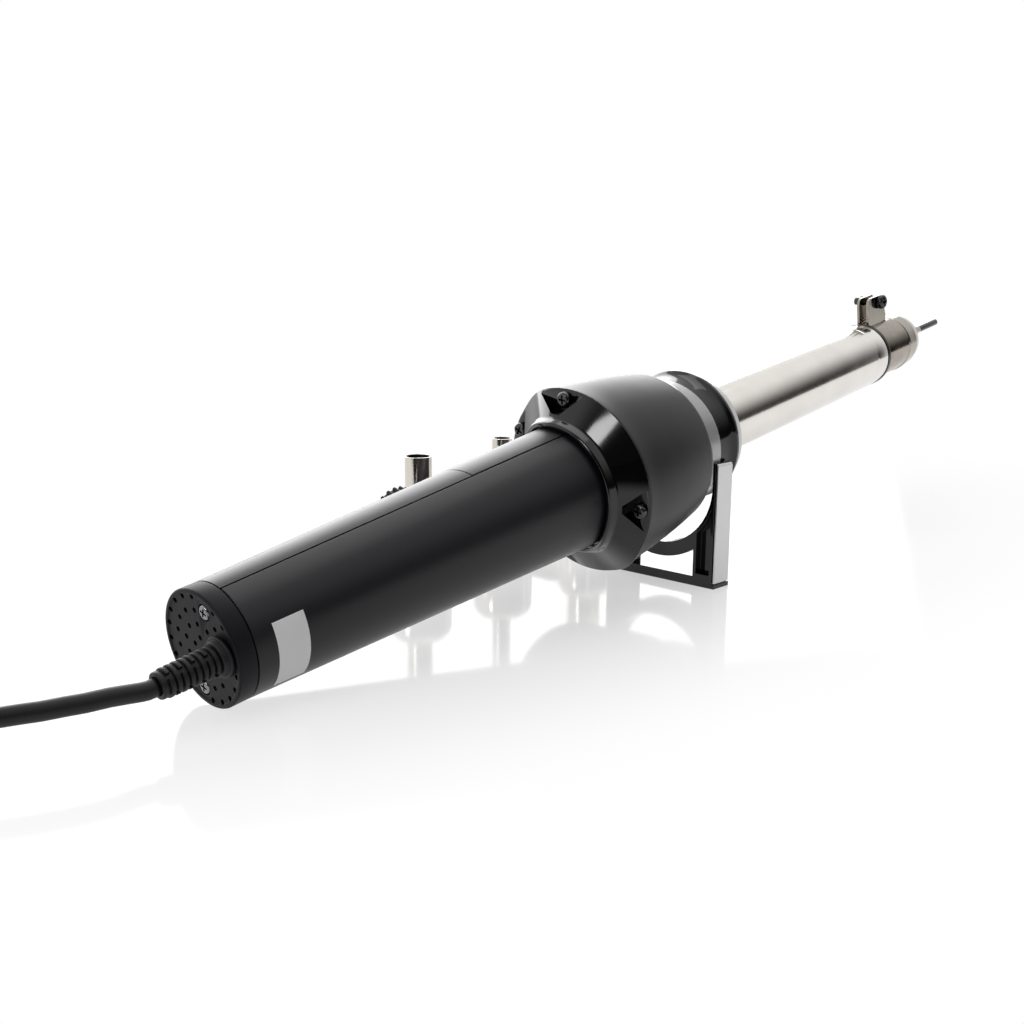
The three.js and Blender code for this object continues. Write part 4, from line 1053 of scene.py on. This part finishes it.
@dataclass
class StrainRelief:
    """Tapered ribbed sleeve where the lead leaves the cap. Millimetres."""

    bore: float = 2.3
    flange_radius: float = 5.2
    flange: float = 1.2
    step_radius: float = 4.5
    neck_radius: float = 3.4
    core_radius: float = 3.0
    rib_radius: float = 3.85
    ribs: int = 9
    taper: float = 0.008

    def build(self) -> None:
        """Makes the flanged sleeve with its row of split ribs."""
        start, core, bore, end = -2 * self.flange, self.core_radius, self.bore, -GUN.relief_length
        pitch = (start - end) / self.ribs
        sleeve = turned(rounded([
            (4.5, bore, 0), (4.5, 4.4, 0.4), (2.8, 4.4, 0.4), (2.8, self.neck_radius, 0),
            (-0.3, self.neck_radius, 0), (-0.3, self.flange_radius, 0.25),
            (-self.flange, self.flange_radius, 0.45), (-self.flange, self.step_radius, 0.1),
            (start, self.step_radius - 0.2, 0.45), (start, core, 0.1),
            (end + 1.2, core - 0.15, 0.1), (end + 1.2, 3.35, 0.2), (end, 3.3, 0.4), (end, bore, 0.1)],
            5), 64)
        outline = rounded([(start - share * pitch, radius, rounding) for share, radius, rounding in (
            (0.25, core - 0.3, 0), (0.3, self.rib_radius, 0.25), (0.9, self.rib_radius, 0.25),
            (0.95, core - 0.3, 0))], 4)
        halves = [turned(outline, 24, side - 35.0, 160.0) for side in (0.0, 180.0)]
        rib = softened(joined(*halves), 0.1, 2)
        ribs = COPIES.grow(rib, CORD_RUBBER, Count=self.ribs - 1, Pitch=pitch, Taper=self.taper,
                           Odd_Offset=90.0)
        placed("lead_relief", joined(sleeve, ribs), CORD_RUBBER, "strain_relief",
               place=HANDSET @ shift(*GUN.relief))


# Handle


@dataclass
class Handle:
    """Tapered handle of a lower shell and two covers, with its rear cap and label. Millimetres."""

    rear_radius: float = 15.15
    front_radius: float = 19.6
    length: float = 134.9
    taper: float = 128.0
    wall: float = 2.0
    split: float = 88.6
    edge: float = 0.28
    cap_length: float = 5.1
    cap_disc: float = 2.5
    cap_wall: float = 1.6
    screw_radius: float = 11.0
    screw_angles: tuple[float, float] = (94.0, 266.0)
    screw: Screw = Screw(1.9, 1.2, 1.2, 8.0)
    relief_clear: float = 5.2
    relief_bore: float = 3.7
    vent_rings: tuple[tuple[float, int], ...] = ((2.9, 5), (6.45, 10), (10.0, 15), (13.5, 20))
    vent_radius: float = 0.72
    label_along: tuple[float, float] = (11.0, 20.0)
    label_angles: tuple[float, float] = (141.0, 211.0)
    label_rise: float = 0.06
    knob_well: float = 8.6
    well_floor: float = 16.7
    stem_hole: float = 3.3
    lens_hole: float = 2.3
    switch_hole: tuple[float, float] = (6.8, 4.5)

    def radius(self, along: float) -> float:
        """Outer radius at a distance from the rear face."""
        share = min(along, self.taper) / self.taper
        return self.rear_radius + (self.front_radius - self.rear_radius) * share

    def shell(self, low: float, high: float, middle: float) -> Mesh:
        """Makes half of the handle's wall.

        Args:
            low: where it starts along the gun.
            high: where it ends.
            middle: the panel angle of its middle.

        Returns:
            The mesh.
        """
        seam = math.degrees(GAP / 2 / self.rear_radius)
        stations = [low, *[x for x in (self.taper,) if low < x < high], high]
        outline = [(x, self.radius(x)) for x in stations]
        outline += [(x, self.radius(x) - self.wall) for x in reversed(stations)]
        return turned(outline, 72, middle - 90 + seam, 180 - 2 * seam)

    def build(self) -> None:
        """Makes the shells, the label and the cap with its screws."""
        low, middle = self.cap_length + GAP, GAP / 2
        x, y = self.switch_hole
        holes = [(GUN.knob, circle(self.knob_well), self.well_floor, 30.0),
                 (GUN.knob, circle(self.stem_hole), 5.0, 25.0),
                 (GUN.lens, circle(self.lens_hole), 5.0, 25.0),
                 (GUN.switch, rectangle(-x, x, -y, y, 0.4), 5.0, 25.0)]
        tools = [moved(prism(outline, start, end), shift(at)) for at, outline, start, end in holes]
        cover = combined(self.shell(low, self.split - middle, 0.0), tools)
        for name, mesh, solid in (
                ("handle_lower", self.shell(low, self.length, 180.0), "lower_shell"),
                ("handle_control_cover", cover, "control_cover"),
                ("handle_front_cover", self.shell(self.split + middle, self.length, 0.0), "front_cover")):
            placed(name, softened(mesh, self.edge), HANDLE_PLASTIC, solid, place=PANEL)
        (low, high), (start, end) = self.label_along, self.label_angles
        outline = [(x, self.radius(x) + rise) for x, rise in (
            (low, -0.2), (low, self.label_rise), (high, self.label_rise), (high, -0.2))]
        label = softened(turned(outline, 40, start, end - start), 0.03, 2)
        placed("label", label, LABEL, "blank_label", place=PANEL)
        self.cap()

    def cap(self) -> None:
        """The perforated rear cap and its two screws."""
        outer, depth = self.radius(self.cap_length), self.cap_length
        body = turned(rounded([
            (0.3, 0, 0), (0.3, outer - 1.5, 0.3), (0.0, outer - 1.15, 0.3), (0.0, outer, 0.6),
            (depth, outer, 0.2), (depth, outer - self.cap_wall, 0.2),
            (self.cap_disc, outer - self.cap_wall, 0.3), (self.cap_disc, 0, 0)], 6))
        relief = turn(-GUN.panel_turn) @ Vector(GUN.relief)
        screws = [turn(angle) @ Vector((0.0, 0.0, self.screw_radius)) for angle in self.screw_angles]
        hole = turned([(-1, 0), (4, 0), (4, self.relief_bore), (-1, self.relief_bore)], 48)
        bore = turned([(-1, 0), (4, 0), (4, 1.5), (1.5, 1.5), (1.5, 2.2), (-1, 2.2)], 40)
        tools = [moved(hole, shift(*relief)), *[moved(bore, shift(*place)) for place in screws]]
        clear = self.screw.head + 1 + self.vent_radius
        vents = vent_pattern(len(self.vent_rings), [(relief, self.relief_clear + self.vent_radius),
                                                    *[(place, clear) for place in screws]])
        sizes = {f"{word} {number}": value for number, ring in enumerate(self.vent_rings, 1)
                 for word, value in zip(("Ring", "Holes"), ring)}
        mesh = vents.grow(softened(combined(body, tools), 0.12, 2, harden=False), CAP_PLASTIC,
                          Hole_Radius=self.vent_radius, Depth=8.0, **sizes)
        placed("rear_cap", mesh, CAP_PLASTIC, "rear_end_cap", place=PANEL)
        screw = moved(self.screw.mesh(), shift(self.screw.height, 0, self.screw_radius))
        first, last = self.screw_angles
        heads = COPIES.grow(screw, SCREW_STEEL, Count=2, First_Angle=first, Step_Angle=last - first)
        placed("cap_screws", heads, SCREW_STEEL, "end_cap_screw_1", "end_cap_screw_2", place=PANEL,
               smooth=30.0)


@dataclass
class Controls:
    """Knob, rocker switch and indicator on the control cover. Millimetres."""

    knob_radius: float = 8.0
    knob_top: float = 20.9
    knob_height: float = 3.9
    stem_radius: float = 3.0
    teeth: int = 20
    tooth: float = 0.75
    lens_top: float = 18.9
    lens_radius: float = 2.0
    switch_length: float = 13.0
    switch_width: float = 8.4
    switch_rim: float = 1.1
    seat: float = 17.12
    rocker_length: float = 10.6
    rocker_width: float = 6.0
    rocker_tilt: float = 9.0
    pivot: float = 16.4

    def build(self) -> None:
        """Makes the three controls."""
        self.knob()
        self.switch()
        top, radius = self.lens_top, self.lens_radius
        lens = turned(rounded([(top - 7, 0, 0), (top - 7, radius, 0.1), (top - 0.1, radius, 1.6),
                               (top, 0, 0)], 10), 48)
        placed("indicator", lens, LENS, "indicator_lens", place=PANEL @ shift(GUN.lens) @ UPRIGHT)

    def knob(self) -> None:
        """The knurled knob with its pointer groove."""
        radius, core, top = self.knob_radius, self.knob_radius - self.tooth, self.knob_top
        low, stem = top - self.knob_height, self.stem_radius
        body = turned(rounded([
            (8.0, 0, 0), (8.0, stem, 0.2), (low, stem, 0), (low, core, 0.3), (top, core, 0.6),
            (top, core - 1.6, 0.3), (top - 0.35, core - 2.0, 0.3), (top - 0.35, 0, 0)], 6), 96)
        groove = prism(rectangle(2.0, 6.6, -0.45, 0.45, 0.4), top - 0.9, top + 1)
        body = combined(moved(body, UPRIGHT), [groove])
        tooth = prism(rounded([(core - 1, -0.8, 0), (radius, -0.5, 0.45), (radius, 0.5, 0.45),
                               (core - 1, 0.8, 0)], 5), low, top - 0.25)
        tooth = moved(softened(tooth, 0.25, 3), UPRIGHT.inverted())
        teeth = COPIES.grow(tooth, HANDLE_PLASTIC, Count=self.teeth, Step_Angle=360.0 / self.teeth)
        placed("knob", joined(softened(body, 0.15, 2), moved(teeth, UPRIGHT)), HANDLE_PLASTIC,
               "temperature_knob", place=PANEL @ shift(GUN.knob), body="knob")

    def switch(self) -> None:
        """The switch's bezel and its rocker."""
        seat, half, deep = self.seat, self.rocker_length / 2, self.rocker_width / 2

        def block(x: float, y: float, radius: float, low: float, high: float) -> Mesh:
            """A block about the middle of the switch, with its heights from the seat."""
            return prism(rectangle(-x, x, -y, y, radius), seat + low, seat + high)

        x, y = self.switch_length / 2, self.switch_width / 2
        frame_body = combined(block(x + self.switch_rim, y + self.switch_rim, 1.2, 0.0, 1.0),
                              [block(x, y, 0.3, -11.0, 0.5)], Join.UNITE)
        bezel = combined(frame_body, [block(half + 0.7, deep + 0.4, 0.3, -6.0, 5.0)])
        place = PANEL @ shift(GUN.switch)
        placed("switch_frame", softened(bezel, 0.25), GLOSS_BLACK, "switch_bezel", place=place)
        outline = rounded([
            (-half, 1.9, 0.3), (0, 1.1, 2.5), (half, 1.9, 0.3), (half * 0.92, -1.2, 0.3),
            (half * 0.4, -3.4, 0.5), (-half * 0.4, -3.4, 0.5), (-half * 0.92, -1.2, 0.3)], 6)
        place = place @ shift(0, 0, self.pivot) @ turn(self.rocker_tilt, "Y")
        placed("rocker", softened(prism(outline, -deep, deep, ALONG_Y), 0.25), GLOSS_BLACK,
               "power_rocker", place=place, body="rocker")


# Fan and barrel


@dataclass(frozen=True)
class Slant:
    """Moves the far lower side of a piece forwards, as the tool's rear rim is cut on a slant.

    Millimetres and degrees.
    """

    lean: float = 30.0
    start: float = -14.0
    end: float = 10.0
    shift: float = 6.5

    def bend(self, mesh: Mesh, fade_from: float = 1e6, fade_to: float = 2e6) -> Mesh:
        """Slants a mesh that lies along X.

        Args:
            mesh: the mesh, changed in place.
            fade_from: the slant starts to fade here along the gun.
            fade_to: it is gone here.

        Returns:
            The same mesh.
        """
        lean = math.radians(self.lean)
        for vertex in mesh.vertices:
            away = vertex.co.y * math.cos(lean) - vertex.co.z * math.sin(lean)
            share = smoothed((away - self.start) / (self.end - self.start))
            fade = smoothed((vertex.co.x - fade_from) / (fade_to - fade_from))
            vertex.co.x += self.shift * share * (1 - fade)
        return mesh


SLANT = Slant()


@dataclass
class Collar:
    """Glossy ring and cone behind the fan housing, with wedge pockets for its screws. Millimetres."""

    rear: float = 126.9
    front: float = 135.3
    mouth: float = 20.3
    rim: float = 21.7
    ring_length: float = 2.9
    cone: float = 30.7
    bore: float = 19.9
    notch_angle: float = 4.0
    notch_step: float = 100.5
    notch_odd: float = -5.5
    notch_wall: float = 134.4
    notch_length: float = 4.8
    notch_half: float = 6.8
    first_notch_far: float = 12.0
    notch_floor: float = 23.4
    screw: Screw = Screw(2.3, 1.7, 1.2, 6.0)
    screw_radius: float = 27.7
    screw_hole: float = 1.5
    screws: int = 4

    def build(self) -> None:
        """Makes the collar and its four screws."""
        rear, front, wall, half = self.rear, self.front, self.notch_wall, self.notch_half
        neck = rear + self.ring_length
        body = turned(rounded([
            (rear, self.mouth, 0.3), (rear, self.rim, 1.1), (neck, self.rim + 0.7, 1.3),
            (front - 0.35, self.cone, 0.35), (front, self.cone - 0.2, 0.1), (front, self.bore, 0.2),
            (neck, self.bore, 0.1), (neck, self.mouth, 0.1)], 8), 192)
        bore = rectangle(wall - 1, front + 1, 0.0, self.screw_hole)
        hole = moved(turned(bore, 32), shift(0, 0, self.screw_radius))
        wedges, holes = [], []
        for i in range(self.screws):
            far = half if i else self.first_notch_far
            wedge = prism(rounded([(wall - self.notch_length, (far - half) / 4, 0.4), (wall, -half, 0.12),
                                   (wall, far, 0.12)], 6), self.notch_floor, 40.0)
            around = turn(self.notch_angle + self.notch_step * i + self.notch_odd * (i % 2))
            wedges.append(moved(wedge, around))
            holes.append(moved(hole, around))
        collar = softened(SLANT.bend(combined(body, wedges + holes)), 0.2, 2, 40.0)
        placed("collar", collar, GLOSS_BLACK, "rear_collar")
        screw = moved(self.screw.mesh(), shift(wall - GAP, 0, self.screw_radius))
        screws = COPIES.grow(screw, DARK_SCREW, Count=self.screws, First_Angle=self.notch_angle,
                             Step_Angle=self.notch_step, Odd_Offset=self.notch_odd)
        names = [f"collar_screw_{i + 1}" for i in range(self.screws)]
        placed("collar_screws", SLANT.bend(screws), DARK_SCREW, *names, smooth=30.0)


@dataclass
class FanHousing:
    """Barrel-shaped shell round the fan, with an air inlet in its rear wall. Millimetres."""

    rear: float = 135.6
    profile: tuple[tuple[float, float], ...] = (
        (0.0, 30.3), (4.4, 29.7), (14.4, 28.9), (23.4, 28.0), (31.4, 26.9), (38.4, 25.7))
    wall: float = 2.2
    rear_wall: float = 1.0
    inlet: float = 14.0
    inner_bend: tuple[float, float] = (20.0, 26.2)
    fade: tuple[float, float] = (2.0, 22.0)

    def build(self) -> None:
        """Makes the shell."""
        profile, wall, rear_wall = self.profile, self.wall, self.rear_wall
        curve = smooth_through([Vector((*point, 0.0)) for point in profile], 6)
        corners = [(0.0, self.inlet, 0.3), (0.0, profile[0][1], 0.9)]
        corners += [(v.x, v.y, 0.0) for v in curve[1:-1]]
        corners += [(*profile[-1], 0.4), *[(x, r - wall, 0.2) for x, r in reversed(profile[1:])]]
        corners.insert(-1, (*self.inner_bend, 0.0))
        corners += [(rear_wall, profile[0][1] - wall - 0.2, 0.5), (rear_wall, self.inlet, 0.3)]
        outline = rounded([(self.rear + x, r, radius) for x, r, radius in corners], 6)
        shell = SLANT.bend(turned(outline), *[self.rear + x for x in self.fade])
        placed("housing", shell, HOUSING_PLASTIC, "fan_housing", smooth=30.0)


@dataclass
class Neck:
    """Waisted ring that sits in the stand, with its grey front flange. Millimetres."""

    shoulder: float = 174.3
    spigot: float = 8.0
    spigot_radius: float = 23.1
    floor_radius: float = 20.9
    waist: tuple[tuple[float, float], ...] = (
        (175.5, 24.9), (176.9, 23.1), (178.1, 21.6), (179.6, 20.9), (189.4, 20.9), (191.6, 21.4),
        (193.3, 22.4))
    front: float = 194.5
    rim_radius: float = 22.4
    bore: float = 18.6
    web: float = 4.0
    highlight_radius: float = 20.98
    highlight_from: float = 180.5
    highlight_to: float = 185.7
    flange_length: float = 4.4
    flange_rear: float = 22.0
    flange_front: float = 20.3
    screw: Screw = Screw(2.0, 1.4, 1.1, 9.0)
    screw_radius: float = 16.6
    screws: int = 3
    first_screw: float = 40.0

    def build(self) -> None:
        """Makes the ring, a grey sleeve of painted highlight on its waist, the flange and its three
        screws.
        """
        s, start, inner = self.shoulder, self.shoulder - self.spigot, Barrel.radius + GAP
        web = self.front - self.web
        curve = smooth_through([Vector((*point, 0.0)) for point in self.waist], 6)
        ring = turned(rounded([
            (start, self.spigot_radius, 0.3), (s, self.spigot_radius, 0), (s, 25.3, 0.3),
            *[(v.x, v.y, 0.0) for v in curve], (self.front, self.rim_radius - 0.1, 0.3),
            (self.front, inner, 0.2), (web, inner, 0), (web, self.bore, 0), (start, self.bore, 0)], 6))
        placed("neck", ring, GLOSS_BLACK, "neck_ring", smooth=30.0)
        # Painted highlight: a thin grey sleeve on the waist stands in for the light that the glossy waist
        # reflects there.
        low, high, inside = self.highlight_from, self.highlight_to, self.floor_radius - 0.3
        band = turned([(low, inside), (low, self.highlight_radius), (high, self.highlight_radius), (high, inside)])
        placed("neck_painted_highlight", softened(band, 0.04, 2), WAIST_HIGHLIGHT_GREY)
        low = self.front + GAP
        high = low + self.flange_length
        flange = turned(rounded([(low, inner, 0.2), (low, self.flange_rear, 0.35),
                                 (high, self.flange_front, 0.9), (high, inner, 0.3)], 6))
        placed("flange", flange, SATIN_STEEL, "front_flange", smooth=30.0)
        screw = moved(self.screw.mesh(), shift(high + GAP, 0, self.screw_radius) @ turn(180.0, "Z"))
        screws = COPIES.grow(screw, SCREW_STEEL, Count=self.screws, First_Angle=self.first_screw,
                             Step_Angle=360.0 / self.screws)
        names = [f"flange_screw_{i + 1}" for i in range(self.screws)]
        placed("flange_screws", screws, SCREW_STEEL, *names, smooth=30.0)


@dataclass
class Barrel:
    """Steel barrel with its dark end ring. Millimetres."""

    start: float = 186.0
    end: float = 317.7
    radius: float = 12.5
    wall: float = 0.8
    groove_at: float = 310.0
    groove_depth: float = 0.15
    ring_length: float = 2.0
    ring_rise: float = 0.15
    spigot: float = 4.0
    sleeve_radius: float = 10.4

    def build(self) -> None:
        """Makes the barrel and the ring."""
        r, g, bore = self.radius, self.groove_at, self.radius - self.wall
        body = turned(rounded([
            (self.start, bore, 0.1), (self.end, bore, 0.1), (self.end, r, 0.25), (g + 0.4, r, 0.1),
            (g, r - self.groove_depth, 0.2), (g - 0.4, r, 0.1), (self.start, r, 0.2)], 4))
        placed("barrel_tube", body, TURNED_STEEL, "barrel", smooth=40.0)
        low, inner, spigot = self.end + GAP, self.sleeve_radius + GAP, bore - GAP
        high, back, rim = low + self.ring_length, low - self.spigot, r + self.ring_rise
        ring = turned(rounded([(back, inner, 0), (high, inner, 0.2), (high, rim, 0.4), (low, rim, 0.3),
                               (low, spigot, 0), (back, spigot, 0)], 5))
        placed("end_ring", ring, DARK_STEEL, "barrel_end_ring", smooth=30.0)


@dataclass
class Nozzle:
    """A clamp-on nozzle along X with its rim at x = 0, its screw and its nut. Millimetres."""

    name: str
    place: Matrix
    body: str
    screw_body: str
    stands_for: tuple[str, str, str]
    cup: float
    dome: float
    root: float
    cone: float
    tube: float
    length: float
    shoulder: tuple[tuple[float, float], ...]
    bead: float = 0.0
    finish: Finish = BRIGHT_STEEL
    wall: float = 0.5
    outer: float = 11.2
    inner: float = 10.7
    ear_length: float = 15.0
    ear_height: float = 11.2
    ear_thickness: float = 1.0
    ear_spacing: float = 3.0
    screw_at: float = 9.7
    screw_height: float = 8.6
    hole_radius: float = 1.8
    nut_radius: float = 3.1
    nut_height: float = 2.3

    def outline(self) -> Outline:
        """Draws the turned wall.

        Returns:
            The outline.
        """
        cup, wall, outer, dome_to = self.cup, self.wall, self.outer, self.cup + self.dome
        cone_to = dome_to + self.cone
        corners = [(0.0, self.inner, 0.15), (0.0, outer, 0.15)]
        if self.bead:
            corners += [(cup - 1.1, outer, 0.2), (cup - 0.75, outer + self.bead, 0.3),
                        (cup - 0.05, outer + self.bead, 0.3)]
        corners += [(cup + 0.3, outer, 1.5), *[
            (cup + self.dome * t, self.root + (outer - self.root) * share, 3.0)
            for t, share in self.shoulder], (dome_to, self.root, 1.0)]
        if self.cone:
            corners.append((cone_to, self.tube, 2.0))
        corners += [(self.length, self.tube, 0.12), (self.length, self.tube - wall, 0.12)]
        if self.cone:
            corners.append((cone_to - wall, self.tube - wall, 1.0))
        root = self.root - wall
        corners += [(dome_to - wall, root, 1.0), *[
            (cup - wall + (self.dome - wall) * t, root + (self.inner - self.root) * share, 3.0)
            for t, share in reversed(self.shoulder)], (cup - wall, self.inner, 1.5)]
        return rounded(corners, 5)

    def build(self) -> None:
        """Makes the cup with its ears, the clamp screw and the nut."""
        base, top, length = self.inner - 0.1, self.outer + self.ear_height, self.ear_length
        height, thick = self.outer + self.screw_height, self.ear_thickness
        plate = prism(rounded([(0.6, base, 0), (0.6, top, 2.6), (length * 0.83, top, 2.6),
                               (length, self.outer + 2.4, 1.2), (length, base, 0)], 8),
                      -thick / 2, thick / 2, ALONG_Y)
        drill = circle(self.hole_radius, 32)
        hole = moved(prism(drill, -3.0, 3.0, ALONG_Y), shift(self.screw_at, 0, height))
        ear = softened(combined(plate, [hole]), 0.2, 2)
        plates = [moved(ear, shift(0, side * (self.ear_spacing + thick) / 2)) for side in (-1.0, 1.0)]
        slit = prism(rectangle(-1.0, length + 0.4, -0.7, 0.7, 0.3), self.inner - 1.2, self.outer + 1.0)
        cup = combined(turned(self.outline(), 144), [slit])
        kept = {"place": self.place, "smooth": 30.0}
        nozzle = placed(self.name, joined(cup, *plates), self.finish, self.stands_for[0], body=self.body,
                        **kept)
        if self.cone:
            tip = self.cup + self.dome + self.cone * 0.9
            refinished(nozzle, self.place, DARK_STEEL, lambda at, out: at.x > tip)
        # Painted shade: faces inside the bore that face inwards take the dark steel, darkening the bore.
        refinished(nozzle, self.place, DARK_STEEL,
               lambda at, out: at.yz.length < self.inner and out.yz.dot(at.yz) < 0)
        seat = self.ear_spacing / 2 + thick + GAP
        screw = moved(Screw(2.8, 2.2, 1.5, 2 * seat + 5.2).mesh(),
                      shift(self.screw_at, -seat, height) @ turn(90.0, "Z"))
        placed(f"{self.name}_clamp_screw", screw, DARK_STEEL, self.stands_for[1], body=self.screw_body,
               **kept)
        nut = combined(prism(circle(self.nut_radius, 6), 0.0, self.nut_height), [prism(drill, -1.0, 4.0)])
        nut = moved(softened(nut, 0.25, 2), shift(self.screw_at, seat, height) @ turn(-90.0))
        placed(f"{self.name}_clamp_nut", nut, SATIN_STEEL, self.stands_for[2], body=self.body, **kept)


def nozzles() -> list[Nozzle]:
    """Lists the fitted nozzle and the three that stand behind the tool.

    Returns:
        The four nozzles.
    """
    made = [Nozzle("fitted_tip", GUN.nozzle(), "fitted_nozzle", "nozzle_screw",
                   ("nozzle", "clamp_screw", "clamp_nut"), 19.8, 16.0, 3.0, 13.7, 1.35, 65.7,
                   ((0.37, 0.97), (0.6, 0.85), (0.82, 0.58)), bead=0.3, finish=HEATED_STEEL, wall=0.4)]
    for name, radius, length, along, ear_turn in (
            ("medium", 4.5, 42.5, -64.6, -46.0), ("small", 3.5, 44.7, -24.6, -130.0),
            ("large", 6.75, 43.6, 21.4, -40.0)):
        place = shift(along, 55.0) @ turn(ear_turn, "Z") @ UPRIGHT
        solids = (f"spare_nozzle_{name}", f"spare_screw_{name}", f"spare_nut_{name}")
        made.append(Nozzle(f"spare_{name}", place, f"{name}_nozzle", f"{name}_screw", solids, 15.6, 5.2,
                           radius, 0.0, radius, length, ((0.4, 0.92), (0.78, 0.64), (0.96, 0.3))))
    return made


# Stand


@dataclass
class Stand:
    """U-shaped stand with a window, corner pockets and a silver plate on each side. Millimetres."""

    thickness: float = 8.8
    half_width: float = 22.7
    height: float = 42.0
    saddle: float = 20.8
    saddle_centre: float = 33.8
    band: float = 4.9
    foot_bar: float = 3.2
    foot_lip: float = 1.5
    window: float = 14.1
    plate: float = 0.6
    pocket_depth: float = 2.9
    pocket_rim: float = 1.2

    def build(self) -> None:
        """Makes the frame and its two side plates."""
        half, wide, lip, low = self.thickness / 2, self.half_width, self.foot_lip, self.foot_bar
        side, inside, arch = wide - self.plate - GAP, wide - self.plate, self.saddle + self.band
        middle = (0.0, self.saddle_centre)
        outline = [(-wide, 0.0), (wide, 0.0), (wide, lip), (side, lip), (side, self.height),
                   (self.saddle, self.height), *arc(middle, self.saddle, 0.0, -180.0, 72),
                   (-self.saddle, self.height), (-side, self.height), (-side, lip), (-wide, lip)]
        angle = math.degrees(math.acos(self.window / arch))
        window = [(self.window, low), *arc(middle, arch, -angle, angle - 180.0, 48), (-self.window, low)]
        tools = [prism(window, -half - 1, half + 1, ALONG_X)]
        rim = self.pocket_rim
        inner, outer, reach = self.window + rim, side - rim, self.saddle + rim
        roof = [(y, self.saddle_centre - math.sqrt(reach ** 2 - y * y))
                for y in (outer - (outer - inner) * i / 8 for i in range(9))]
        for hand in (-1.0, 1.0):
            points = [(hand * y, z) for y, z in ((inner, low + rim), (outer, low + rim), *roof)]
            tools.append(prism(points, half - self.pocket_depth, half + 1, ALONG_X))
            tools.append(prism(points, -half - 1, self.pocket_depth - half, ALONG_X))
        body = combined(prism(outline, -half, half, ALONG_X), tools)
        placed("stand_frame", softened(body, 0.35, 3, 25.0), GLOSS_BLACK, "stand_body", place=TABLE,
               body="stand")
        low, high = lip + GAP, self.height - 0.1
        corners = ((inside, low), (wide, low), (wide, high - 0.7), (inside, high))
        for name, hand in (("near", -1.0), ("far", 1.0)):
            points = [(hand * y, z) for y, z in corners]
            plate = softened(prism(points, GAP - half, half - GAP, ALONG_X), 0.12, 2)
            placed(f"side_plate_{name}", plate, SILVER_PLASTIC, f"stand_side_plate_{name}", place=TABLE,
                   body="stand")


# Inner pieces


INSIDE: dict[Finish, tuple[str, ...]] = {
    BOARD: ("circuit_board",), COMPONENT: ("potentiometer", "terminal_block", "board_capacitor", "triac"),
    TURNED_STEEL: ("motor_mount", "fan_motor", "heater_sleeve"), BRIGHT_STEEL: ("motor_shaft",),
    IMPELLER: ("fan_impeller",), CERAMIC: ("insulating_ring", "heater_former"),
    HEATER_WIRE: ("heater_coil",),
}


def dress_inside() -> None:
    """Gives the solids that stay inside the tool their finishes."""
    for finish, names in INSIDE.items():
        for name in names:
            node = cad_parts[name]
            node.data.materials.clear()
            node.data.materials.append(finish.material())
            LOG.info("%s: %s", name, finish.name)


def main() -> None:
    """Builds the studio, then the part, piece by piece."""
    logging.basicConfig(level=logging.INFO, format="%(name)s %(message)s")
    for piece in (Studio(), MainsLead(), StrainRelief(), Handle(), Controls(), Collar(), FanHousing(),
                  Neck(), Barrel(), *nozzles(), Stand()):
        piece.build()
    dress_inside()


if __name__ == "__main__":
    main()
